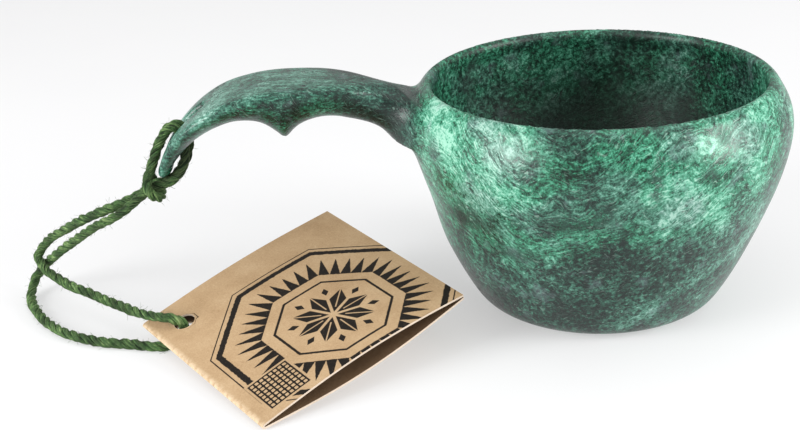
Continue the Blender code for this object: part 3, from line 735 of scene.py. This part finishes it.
    n.put(n.bsdf.inputs['Base Color'], col)
    rough = n.add(0.31, n.add(about(worm, 0.35), about(grain, 0.25)))
    rough = n.add(rough, n.mul(dark, 0.16))
    rough = n.add(rough, n.mul(inside, 0.14))
    n.put(n.bsdf.inputs['Roughness'], n.math('MAXIMUM', rough, 0.2))
    n.bsdf.inputs['IOR'].default_value = 1.44
    height = n.add(n.mul(stroke, 0.7), n.add(n.mul(worm, 0.5), n.mul(grain, 0.4)))
    height = n.sub(height, n.mul(dark, 0.5))
    n.put(n.bsdf.inputs['Normal'], n.bump(height, 0.55, 0.16))
    return n.mat


# ============================================================== twine material
def twine_material(name, fuzz=False):
    n = Net(name)
    ply = n.attribute('ply')             # along (mm), across, groove depth
    a, b, g = n.split(ply)
    strand = n.noise(n.join(n.mul(a, 0.22), n.mul(b, 7.0), 0.0), 1.0, 3.0, 0.6)
    patch = n.noise(n.object_mm(), 0.22, 2.0, 0.6)
    hair = n.noise(n.join(n.mul(a, 0.9), n.mul(b, 16.0), 3.0), 1.0, 2.0, 0.6)
    tone = n.add(n.mul(n.sub(strand, 0.5), 1.1), n.mul(n.sub(patch, 0.5), 0.9))
    tone = n.add(n.add(tone, 0.50), n.mul(n.sub(hair, 0.5), 0.9))
    # painted shade: the bight's inside, next to the tongue, is darkened
    tone = n.sub(tone, n.mul(n.blob(n.object_mm(), (-104.2, 0.5, 41.5), 3.0, 7.5), 0.20))
    if not fuzz:
        # painted shade: darker deep in the grooves between the plies
        tone = n.sub(tone, n.mul(n.smooth(g, 0.35, 1.0), 0.34))
    col = n.ramp(tone, [(0.24, (0.004, 0.012, 0.004)), (0.42, (0.014, 0.040, 0.012)),
                        (0.54, (0.036, 0.092, 0.026)), (0.66, (0.095, 0.180, 0.055)),
                        (0.82, (0.260, 0.360, 0.150))])
    if fuzz:
        col = n.mix(0.30, col, (0.16, 0.24, 0.10))
    n.put(n.bsdf.inputs['Base Color'], col)
    n.bsdf.inputs['Roughness'].default_value = 0.78
    n.bsdf.inputs['Specular IOR Level'].default_value = 0.2
    n.bsdf.inputs['Sheen Weight'].default_value = 0.18
    n.bsdf.inputs['Sheen Roughness'].default_value = 0.5
    n.bsdf.inputs['Sheen Tint'].default_value = (0.75, 0.95, 0.5, 1.0)
    if not fuzz:
        n.put(n.bsdf.inputs['Normal'], n.bump(n.add(strand, n.mul(hair, 0.7)), 1.0, 0.20))
    return n.mat


# =============================================================== card materials
def kraft_color(n, base=(0.440, 0.300, 0.170), dark=(0.330, 0.212, 0.112), light=(0.540, 0.395, 0.245)):
    uv = n.attribute('card')             # along the fold, across, side; in mm
    cloud = n.noise(uv, 0.09, 3.0, 0.6)
    pulp = n.noise(uv, 2.2, 4.0, 0.75)
    fib = n.noise(n.stretch(n.push(uv, 0.4, 2.5), (0.7, 4.0, 1.0)), 1.0, 3.0, 0.65)
    fib2 = n.noise(n.stretch(n.push(uv, 0.5, 2.0), (4.2, 0.8, 1.0)), 1.0, 3.0, 0.65)
    tone = n.add(n.mul(cloud, 0.35), n.add(n.mul(pulp, 0.35), n.mul(n.add(fib, fib2), 0.15)))
    col = n.ramp(tone, [(0.34, dark), (0.50, base), (0.68, light)])
    speck = n.smooth(n.noise(uv, 1.5, 2.0, 0.6), 0.70, 0.76)
    col = n.mix(n.mul(speck, 0.45), col, (0.20, 0.11, 0.05))
    hair = n.smooth(fib, 0.68, 0.74)
    col = n.mix(n.mul(hair, 0.35), col, (0.80, 0.66, 0.46))
    return uv, pulp, n.add(fib, fib2), col


def card_face_material():
    """The outside of the card, with a plain folk ornament printed in black."""
    n = Net('kraft_printed')
    uv, pulp, fib, col = kraft_color(n)
    u, s, side = n.split(uv)
    # the fold's outside is paler: a painted highlight on the bend, broken up like rubbed wear
    fold_wear_and_highlight = n.smooth(n.math('ABSOLUTE', s), 1.6, 0.0)
    fold_wear_and_highlight = n.mul(fold_wear_and_highlight, n.smooth(n.noise(uv, 0.8, 3.0, 0.7), 0.30, 0.62))
    col = n.mix(n.mul(fold_wear_and_highlight, 0.55), col, (0.80, 0.66, 0.47))

    ragged = n.mul(n.sub(n.noise(uv, 0.9, 3.0, 0.65), 0.5), 0.75)
    cu, cs = 17.8, 32.6
    du = n.sub(u, cu)
    ds = n.sub(s, cs)
    r = n.math('SQRT', n.add(n.mul(du, du), n.mul(ds, ds)))
    ang = n.math('ARCTAN2', ds, du)
    step = math.pi / 4
    fold = n.math('ABSOLUTE', n.sub(n.math('FLOORED_MODULO', n.add(ang, step / 2 + 8 * step), step), step / 2))
    px = n.mul(r, n.math('COSINE', fold))
    py = n.mul(r, n.math('SINE', fold))

    def ink(d, soft=0.09):
        """1 where the signed distance d is negative."""
        return n.smooth(d, soft, -soft)

    def band(v, at, half, rag=1.0):
        return n.sub(n.math('ABSOLUTE', n.sub(v, at)), n.add(half, n.mul(ragged, rag)))

    t = math.tan(step / 2)
    # eight lozenge petals meeting at the middle
    tip = 11.2
    petal = n.math('MAXIMUM', n.sub(py, n.mul(px, t)), n.sub(py, n.mul(n.sub(tip, px), t * 1.25)))
    petal = n.add(petal, 0.42)
    marks = ink(petal)
    # a split line down each petal
    split = n.sub(py, 0.16)
    split = n.math('MAXIMUM', split, n.sub(3.0, px))
    marks = n.mul(marks, n.sub(1.0, ink(split)))
    # small lozenges in the gaps between the petals
    c2, s2 = math.cos(step / 2), math.sin(step / 2)
    gx = n.add(n.mul(px, c2), n.mul(py, s2))
    gy = n.sub(n.mul(py, c2), n.mul(px, s2))
    loz = n.sub(n.add(n.math('ABSOLUTE', n.sub(gx, 10.0)), n.mul(n.math('ABSOLUTE', gy), 1.7)), 1.55)
    marks = n.math('MAXIMUM', marks, ink(loz))
    # eight-sided frame lines: a thin one, a row of wedges, a thick one, a thin one
    marks = n.math('MAXIMUM', marks, ink(band(px, 13.6, 0.34, 0.30)))
    turn = n.math('PINGPONG', n.add(ang, 4 * math.pi), step / 10)
    off = n.mul(r, turn)
    tri = n.math('MAXIMUM', n.sub(n.math('ABSOLUTE', n.sub(px, 20.0)), 3.3),
                 n.sub(off, n.mul(n.sub(23.6, px), 0.20)))
    marks = n.math('MAXIMUM', marks, ink(n.add(tri, n.mul(ragged, 0.5))))
    marks = n.math('MAXIMUM', marks, ink(band(px, 26.6, 0.78, 0.95)))
    marks = n.math('MAXIMUM', marks, ink(band(px, 28.6, 0.17, 0.14)))
    # a woven patch near the fold
    au, as_ = n.sub(u, 8.0), n.sub(s, 10.0)
    inside = n.math('MAXIMUM', n.math('ABSOLUTE', au), n.math('ABSOLUTE', as_))
    clear = ink(n.sub(inside, 6.1))
    marks = n.mul(marks, n.sub(1.0, clear))
    patch = ink(n.sub(inside, 5.3))
    k = 1.32
    lu = n.math('PINGPONG', n.add(au, as_), k)
    ls = n.math('PINGPONG', n.sub(au, as_), k)
    weave = n.sub(n.math('ABSOLUTE', n.sub(lu, ls)), 0.46)
    weave2 = n.sub(n.math('MAXIMUM', lu, ls), 0.62)
    lat = n.math('MAXIMUM', ink(weave), ink(weave2))
    frame_line = ink(n.sub(n.math('ABSOLUTE', n.sub(inside, 5.3)), 0.20))
    marks = n.math('MAXIMUM', marks, n.math('MAXIMUM', n.mul(patch, lat), frame_line))
    # only on the outside of the front leaf
    marks = n.mul(marks, n.smooth(s, 1.4, 1.6))
    # dry ink: tiny gaps
    dry = n.smooth(n.noise(uv, 3.4, 3.0, 0.7), 0.30, 0.40)
    marks = n.mul(marks, n.add(0.86, n.mul(dry, 0.14)))
    col = n.mix(n.mul(marks, 0.985), col, (0.0065, 0.006, 0.006))
    n.put(n.bsdf.inputs['Base Color'], col)
    n.put(n.bsdf.inputs['Roughness'], n.sub(0.80, n.mul(marks, 0.22)))
    n.bsdf.inputs['Specular IOR Level'].default_value = 0.12
    h = n.add(n.mul(pulp, 0.6), n.mul(fib, 0.3))
    n.put(n.bsdf.inputs['Normal'], n.bump(h, 0.35, 0.06))
    return n.mat


def card_plain_material(name, base, dark, light):
    n = Net(name)
    uv, pulp, fib, col = kraft_color(n, base, dark, light)
    n.put(n.bsdf.inputs['Base Color'], col)
    n.put(n.bsdf.inputs['Roughness'], n.add(0.78, n.mul(n.sub(pulp, 0.5), 0.2)))
    n.bsdf.inputs['Specular IOR Level'].default_value = 0.12
    n.put(n.bsdf.inputs['Normal'], n.bump(n.add(n.mul(pulp, 0.6), n.mul(fib, 0.3)), 0.35, 0.06))
    return n.mat


# ========================================================================= cord
def frames_along(pts):
    """Unit tangents and two normals carried along a line without twist."""
    t = np.gradient(pts, axis=0)
    t /= np.linalg.norm(t, axis=1)[:, None]
    a = np.zeros_like(pts)
    v = np.cross(t[0], [0.3, 0.2, 1.0])
    a[0] = v / np.linalg.norm(v)
    for i in range(1, len(pts)):
        v = a[i - 1] - t[i] * (a[i - 1] @ t[i])
        a[i] = v / np.linalg.norm(v)
    return t, a, np.cross(t, a)


def tube_rings(centre, a, b, radius, sides, squash=None):
    """Points of a tube's rings; squash gives its second radius."""
    q = np.arange(sides) * 2 * math.pi / sides
    r2 = radius if squash is None else squash
    radius = np.broadcast_to(np.asarray(radius, float), (len(centre),))
    r2 = np.broadcast_to(np.asarray(r2, float), (len(centre),))
    return (centre[:, None] + a[:, None] * (np.cos(q)[None, :, None] * radius[:, None, None])
            + b[:, None] * (np.sin(q)[None, :, None] * r2[:, None, None]))


def tube_faces(rings, sides, base, closed=False):
    faces = []
    for i in range(rings - 1):
        for j in range(sides):
            k = (j + 1) % sides
            faces.append((base + i * sides + j, base + i * sides + k,
                          base + (i + 1) * sides + k, base + (i + 1) * sides + j))
    if not closed:
        faces.append(tuple(base + j for j in range(sides))[::-1])
        faces.append(tuple(base + (rings - 1) * sides + j for j in range(sides)))
    return faces


def cord_route():
    """The whole cord's centreline, in mm: round the loop, then through the hitch."""
    return spline(list(LOOP[:-1]) + hitch_points()[::-1], 1800)


PLY_PITCH = 9.2          # one turn of the three plies
PLY_R = 0.66
PLY_OFF = 0.60


def make_twine(mat, mat_fuzz):
    line = cord_route()
    arc = np.concatenate([[0.0], np.cumsum(np.linalg.norm(np.diff(line, axis=0), axis=1))])
    length = arc[-1]
    n = int(length / 0.28)
    at = np.linspace(0, length, n)
    pts = np.stack([np.interp(at, arc, line[:, k]) for k in range(3)], 1)
    t, a, b = frames_along(pts)
    turns = round(3 * length / PLY_PITCH) / 3.0
    # close the seam: spread the frame's own end error over the length
    end = math.atan2(a[-1] @ b[0], a[-1] @ a[0])
    spin = 2 * math.pi * turns * at / length - end * at / length
    rng = np.random.default_rng(11)

    def wobble(scale, amount):
        k = int(length / scale) + 3
        v = rng.normal(0, amount, k)
        v[-1] = v[0]
        s = spline(np.stack([np.linspace(0, length, k), v], 1), 6 * k)
        return np.interp(at, s[:, 0], s[:, 1])

    verts, faces, attr = [], [], []
    sides = 16
    curves = []
    thick = 1.0 + wobble(11.0, 0.035)
    for ply in range(3):
        ph = spin + ply * 2 * math.pi / 3
        off = PLY_OFF * (thick + wobble(3.0, 0.05))
        ca, sa = np.cos(ph)[:, None], np.sin(ph)[:, None]
        out = a * ca + b * sa
        side = b * ca - a * sa
        c = pts + out * off[:, None]
        tang = np.gradient(c, axis=0)
        tang /= np.linalg.norm(tang, axis=1)[:, None]
        u = out - tang * (out * tang).sum(1)[:, None]
        u /= np.linalg.norm(u, axis=1)[:, None]
        w = np.cross(tang, u)
        r = PLY_R * (thick + wobble(2.2, 0.05))
        # surface ridges of the spun fibres, running slightly across the ply
        q = np.arange(sides) * 2 * math.pi / sides
        twist = at[:, None] * 1.15 + q[None]
        ridge = 1.0 + 0.045 * np.sin(5 * twist + 1.3 * ply) + 0.03 * np.sin(9 * twist + at[:, None] * 0.7)
        rr = r[:, None] * ridge
        ring = (c[:, None] + u[:, None] * (np.cos(q)[None, :, None] * rr[..., None])
                + w[:, None] * (np.sin(q)[None, :, None] * rr[..., None] * 1.04))
        base = len(verts) * 1
        dist = np.linalg.norm(ring - pts[:, None], axis=2)
        groove = np.clip((1.22 - dist) / 0.55, 0, 1)
        flat = ring.reshape(-1, 3)
        verts.extend(flat)
        attr.extend(np.stack([np.repeat(at, sides), np.tile(q / (2 * math.pi), n) + ply * 1.7
                              + np.repeat(at, sides) * 0.0, groove.reshape(-1)], 1))
        faces.extend(tube_faces(n, sides, base))
        curves.append((c, u, w, r, tang))
    verts = np.array(verts)
    verts[:, 2] = np.maximum(verts[:, 2], 0.03)
    ob = new_mesh('twine', verts * MM, faces, [mat])
    put_vectors(ob, 'ply', np.array(attr))

    # loose fibres: some lie along the plies, some stand off
    fv, ff, fa = [], [], []
    for k in range(2600):
        ply = int(rng.integers(3))
        c, u, w, r, tang = curves[ply]
        lying = k < 1750
        i0 = int(rng.integers(4, n - 30))
        th = rng.uniform(-1.5, 1.5)
        if lying:
            span = int(rng.uniform(9, 24))
            m = 7
            idx = np.clip(np.linspace(i0, i0 + span, m).astype(int), 0, n - 1)
            drift = np.linspace(0, rng.normal(0, 0.9), m)
            lift = r[idx] * 1.01 + np.sin(np.linspace(0, math.pi, m)) * rng.uniform(0.0, 0.14) - 0.02
            ang = th + drift
            p = c[idx] + u[idx] * (np.cos(ang) * lift)[:, None] + w[idx] * (np.sin(ang) * lift)[:, None]
            rad = rng.uniform(0.045, 0.085)
        else:
            m = 6
            start = c[i0] + (u[i0] * math.cos(th) + w[i0] * math.sin(th)) * r[i0] * 0.95
            outd = u[i0] * math.cos(th) + w[i0] * math.sin(th)
            along = tang[i0] * (1 if rng.random() < 0.6 else -1)
            L = rng.uniform(0.7, 2.6)
            bend = rng.normal(0, 0.8, 3)
            f = np.linspace(0, 1, m)[:, None]
            p = start + outd * f * L * rng.uniform(0.25, 0.75) + along * f * L * rng.uniform(0.2, 0.9) + bend * f * f * 0.7
            rad = rng.uniform(0.022, 0.040)
            away = np.linalg.norm(p - pts[np.clip(i0, 0, n - 1)], axis=1)
            if away.max() > 3.0:
                continue
        if p[:, 2].min() < 0.12:
            p[:, 2] = np.maximum(p[:, 2], 0.12)
        tt, aa, bb = frames_along(p)
        taper = np.concatenate([[0.5], np.ones(m - 2), [0.3]])
        ring = tube_rings(p, aa, bb, rad * taper, 3)
        base = len(fv)
        fv.extend(ring.reshape(-1, 3))
        fa.extend(np.stack([np.full(m * 3, at[i0]), np.full(m * 3, th + k * 0.37), np.zeros(m * 3)], 1))
        ff.extend(tube_faces(m, 3, base))
    fuzz = new_mesh('twine_fibres', np.array(fv) * MM, ff, [mat_fuzz])
    put_vectors(fuzz, 'ply', np.array(fa))
    return ob, fuzz, line, length


def new_mesh(name, verts, faces, mats, smooth=True):
    mesh = bpy.data.meshes.new(name)
    mesh.from_pydata([tuple(v) for v in verts], [], [tuple(int(i) for i in f) for f in faces])
    mesh.update()
    for m in mats:
        mesh.materials.append(m)
    ob = bpy.data.objects.new(name, mesh)
    bpy.context.scene.collection.objects.link(ob)
    mesh.polygons.foreach_set('use_smooth', [smooth] * len(mesh.polygons))
    return ob


def put_vectors(ob, name, values):
    at = ob.data.attributes.new(name, 'FLOAT_VECTOR', 'POINT')
    at.data.foreach_set('vector', np.asarray(values, np.float32).ravel())


def bake_modifiers(ob):
    dg = bpy.context.evaluated_depsgraph_get()
    new = bpy.data.meshes.new_from_object(ob.evaluated_get(dg), preserve_all_data_layers=True, depsgraph=dg)
    old = ob.data
    ob.modifiers.clear()
    ob.data = new
    bpy.data.meshes.remove(old)


# ========================================================================== cup
def fine_cup(mat):
    cup = Cup()
    for shift in (0.137, 0.31, 0.47, 0.62, 0.79, 0.91):
        verts, faces = cup.surface(MESH_STEP, shift)
        ends = np.sort(np.concatenate([faces[:, [k, (k + 1) % 4]] for k in range(4)]), axis=1)
        if (np.unique(ends, axis=0, return_counts=True)[1] == 2).all():
            break
    ob = new_mesh('cup_shell', verts * MM, faces, [mat])
    mod = ob.modifiers.new('finer', 'SUBSURF')
    mod.levels = mod.render_levels = 1
    bake_modifiers(ob)
    me = ob.data
    co = np.zeros(len(me.vertices) * 3)
    me.vertices.foreach_get('co', co)
    co = co.reshape(-1, 3) * 1000.0
    for _ in range(3):
        g = cup.gradient(co)
        gg = np.maximum((g * g).sum(1), 0.05)
        move = -(cup.field(*co.T) / gg)[:, None] * g
        co = co + np.clip(move, -0.3, 0.3)
    co[:, 2] = np.where(co[:, 2] < 0.05, 0.0, co[:, 2])
    me.vertices.foreach_set('co', (co * MM).ravel())
    me.polygons.foreach_set('use_smooth', [True] * len(me.polygons))
    me.update()
    x, y, z = co.T
    r = np.hypot(x, y)

    def ease(v, a, b):
        v = np.clip((v - a) / (b - a), 0, 1)
        return v * v * (3 - 2 * v)

    hollow = cup.hollow.read(r, z)
    inside = ease(hollow, 0.5, 0.1) * ease(z, 58.6, 57.4)
    on_handle = ease(x, -46.0, -53.0)
    under = on_handle * ease(-cup.n.read(x, z), 0.6, 3.0)
    put_vectors(ob, 'zone', np.stack([inside, on_handle, under], 1))
    return ob


# ========================================================================= card
def tag_frame():
    along = (TAG_L - TAG_B).normalized()
    across = (TAG_R - TAG_B)
    across = (across - along * across.dot(along)).normalized()
    return TAG_B, along, across, across.cross(along).normalized()


def card_section(u):
    """The card's middle line at u: from the back leaf's edge, round the fold, to the front's.

    Rows of (s, n)."""
    t = u / TAG_SIDE
    fb = FRONT_BOW[0] * (1 - t) + FRONT_BOW[1] * t
    bb = BACK_BOW[0] * (1 - t) + BACK_BOW[1] * t
    s_leaf = 0.5 + (TAG_SIDE - 0.5) * np.linspace(0, 1, 45) ** 1.15
    front = [(s, FOLD_GAP + fb * math.sin(math.pi * s / TAG_SIDE) + FRONT_LIFT * t * s / TAG_SIDE) for s in s_leaf]
    back = [(s, -FOLD_GAP - bb * math.sin(math.pi * s / TAG_SIDE)) for s in s_leaf]
    bend = [(0.5 - 0.50 * math.cos(q), FOLD_GAP * math.sin(q)) for q in np.linspace(-math.pi / 2, math.pi / 2, 13)[1:-1]]
    return np.array(back[::-1] + bend + front)


def make_card(mats):
    o, e1, e2, up = tag_frame()
    o, e1, e2, up = (np.array(v) for v in (o, e1, e2, up))
    nu = 40
    rows = [card_section(TAG_SIDE * i / nu) for i in range(nu + 1)]
    m = len(rows[0])
    half = CARD_T / 2
    verts, attr = [], []
    for layer in (1, -1):
        for i, sec in enumerate(rows):
            u = TAG_SIDE * i / nu
            d = np.gradient(sec, axis=0)
            d /= np.linalg.norm(d, axis=1)[:, None]
            nrm = np.stack([-d[:, 1], d[:, 0]], 1)      # to the left of the way back to front
            arc = np.concatenate([[0], np.cumsum(np.linalg.norm(np.diff(sec, axis=0), axis=1))])
            mid = arc[m // 2]
            for (s, h), (ns, nh), l in zip(sec, nrm, arc - mid):
                # outside is below the back leaf and above the front leaf
                q = o + e1 * u + e2 * (s - layer * -ns * half * 1.0) + up * (h - layer * -nh * half * 1.0)
                verts.append(q)
                attr.append((u, l, layer))
    faces, mat_of = [], []
    base = (nu + 1) * m
    for i in range(nu):
        for j in range(m - 1):
            a, b, c, d = i * m + j, i * m + j + 1, (i + 1) * m + j + 1, (i + 1) * m + j
            faces.append((a, b, c, d))
            mat_of.append(0)
            faces.append((base + d, base + c, base + b, base + a))
            mat_of.append(1)
    for i in range(nu):
        for j in (0, m - 1):
            a, b = i * m + j, (i + 1) * m + j
            faces.append((a, b, base + b, base + a))
            mat_of.append(2)
    for j in range(m - 1):
        for i in (0, nu):
            a, b = i * m + j, i * m + j + 1
            faces.append((a, b, base + b, base + a))
            mat_of.append(2)
    ob = new_mesh('tag_card', np.array(verts) * MM, faces, mats)
    put_vectors(ob, 'card', np.array(attr))
    ob.data.polygons.foreach_set('material_index', mat_of)
    bm = bmesh.new()
    bm.from_mesh(ob.data)
    bmesh.ops.recalc_face_normals(bm, faces=bm.faces)
    bm.to_mesh(ob.data)
    bm.free()

    c = o + e1 * (TAG_SIDE - HOLE_U) + e2 * HOLE_S
    k = 48
    ring = []
    for lift in (-8.0, 8.0):
        for i in range(k):
            q = 2 * math.pi * i / k
            ring.append((c + e1 * (HOLE_R * math.cos(q)) + e2 * (HOLE_R * math.sin(q)) + up * lift) * MM)
    cf = [(i, (i + 1) % k, k + (i + 1) % k, k + i) for i in range(k)]
    cf += [tuple(range(k))[::-1], tuple(range(k, 2 * k))]
    cut = new_mesh('punch', ring, cf, [mats[2]], smooth=False)
    bm = bmesh.new()
    bm.from_mesh(cut.data)
    bmesh.ops.recalc_face_normals(bm, faces=bm.faces)
    bm.to_mesh(cut.data)
    bm.free()
    mod = ob.modifiers.new('hole', 'BOOLEAN')
    mod.operation = 'DIFFERENCE'
    mod.solver = 'EXACT'
    mod.material_mode = 'TRANSFER'
    mod.object = cut
    bake_modifiers(ob)
    bpy.data.objects.remove(cut, do_unlink=True)
    ob.data.set_sharp_from_angle(angle=math.radians(40))
    return ob


# ======================================================================== stage
def make_stage():
    n = Net('floor')
    p = n.object_mm()
    v = n.noise(p, 0.01, 2.0, 0.5)
    n.put(n.bsdf.inputs['Base Color'], n.ramp(v, [(0.3, (0.415, 0.415, 0.42)), (0.7, (0.425, 0.425, 0.43))]))
    n.bsdf.inputs['Roughness'].default_value = 0.75
    n.bsdf.inputs['Specular IOR Level'].default_value = 0.1
    n.bsdf.inputs['Emission Color'].default_value = (1.0, 1.0, 1.0, 1.0)
    n.bsdf.inputs['Emission Strength'].default_value = 0.47
    bpy.ops.mesh.primitive_plane_add(size=6.0, location=(0, 0, -0.00005))
    floor = bpy.context.active_object
    floor.name = 'floor'
    floor.data.materials.append(n.mat)
    world = bpy.data.worlds.new('studio')
    world.use_nodes = True
    bg = world.node_tree.nodes['Background']
    bg.inputs['Color'].default_value = (1.0, 1.0, 1.0, 1.0)
    bg.inputs['Strength'].default_value = 0.60
    bpy.context.scene.world = world

    def area(name, at, to, size, size_y, power, colour=(1, 1, 1)):
        data = bpy.data.lights.new(name, 'AREA')
        data.shape = 'RECTANGLE'
        data.size, data.size_y = size, size_y
        data.energy = power
        data.color = colour
        ob = bpy.data.objects.new(name, data)
        bpy.context.scene.collection.objects.link(ob)
        ob.location = at
        ob.rotation_euler = (Vector(to) - Vector(at)).to_track_quat('-Z', 'Y').to_euler()
        return ob

    area('left', (-0.60, -0.30, 0.24), (-0.01, 0, 0.035), 0.32, 0.44, 4.6)
    area('right', (0.62, -0.24, 0.24), (0.0, 0, 0.035), 0.28, 0.44, 4.8)
    area('top', (0.18, -0.12, 0.95), (0.0, 0, 0.0), 1.1, 0.8, 2.6)
    view = bpy.context.scene.view_settings
    view.view_transform = 'Standard'
    view.look = 'None'
    view.exposure = 0.0
    view.gamma = 1.0


# ========================================================================= make
make_camera()

twine, fibres, cord_line, cord_length = make_twine(twine_material('twine_plies'), twine_material('twine_hairs', True))
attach(twine, 'cup')
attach(fibres, 'cup')
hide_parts('cord_hitch', 'cord_loop')

cup = fine_cup(cup_material())
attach(cup, 'cup')
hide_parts('cup_body')

card = make_card([card_face_material(),
                  # painted shade: the card's inside is a darker copy of the kraft
                  card_plain_material('kraft_inside_shaded', (0.190, 0.118, 0.066), (0.130, 0.078, 0.042), (0.250, 0.165, 0.098)),
                  card_plain_material('kraft_cut_edge', (0.660, 0.540, 0.430), (0.520, 0.410, 0.310), (0.780, 0.680, 0.580))])
tag_o, tag_u, tag_s, tag_n = tag_frame()
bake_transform(card)
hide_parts('tag_back_leaf', 'tag_front_leaf')

make_stage()
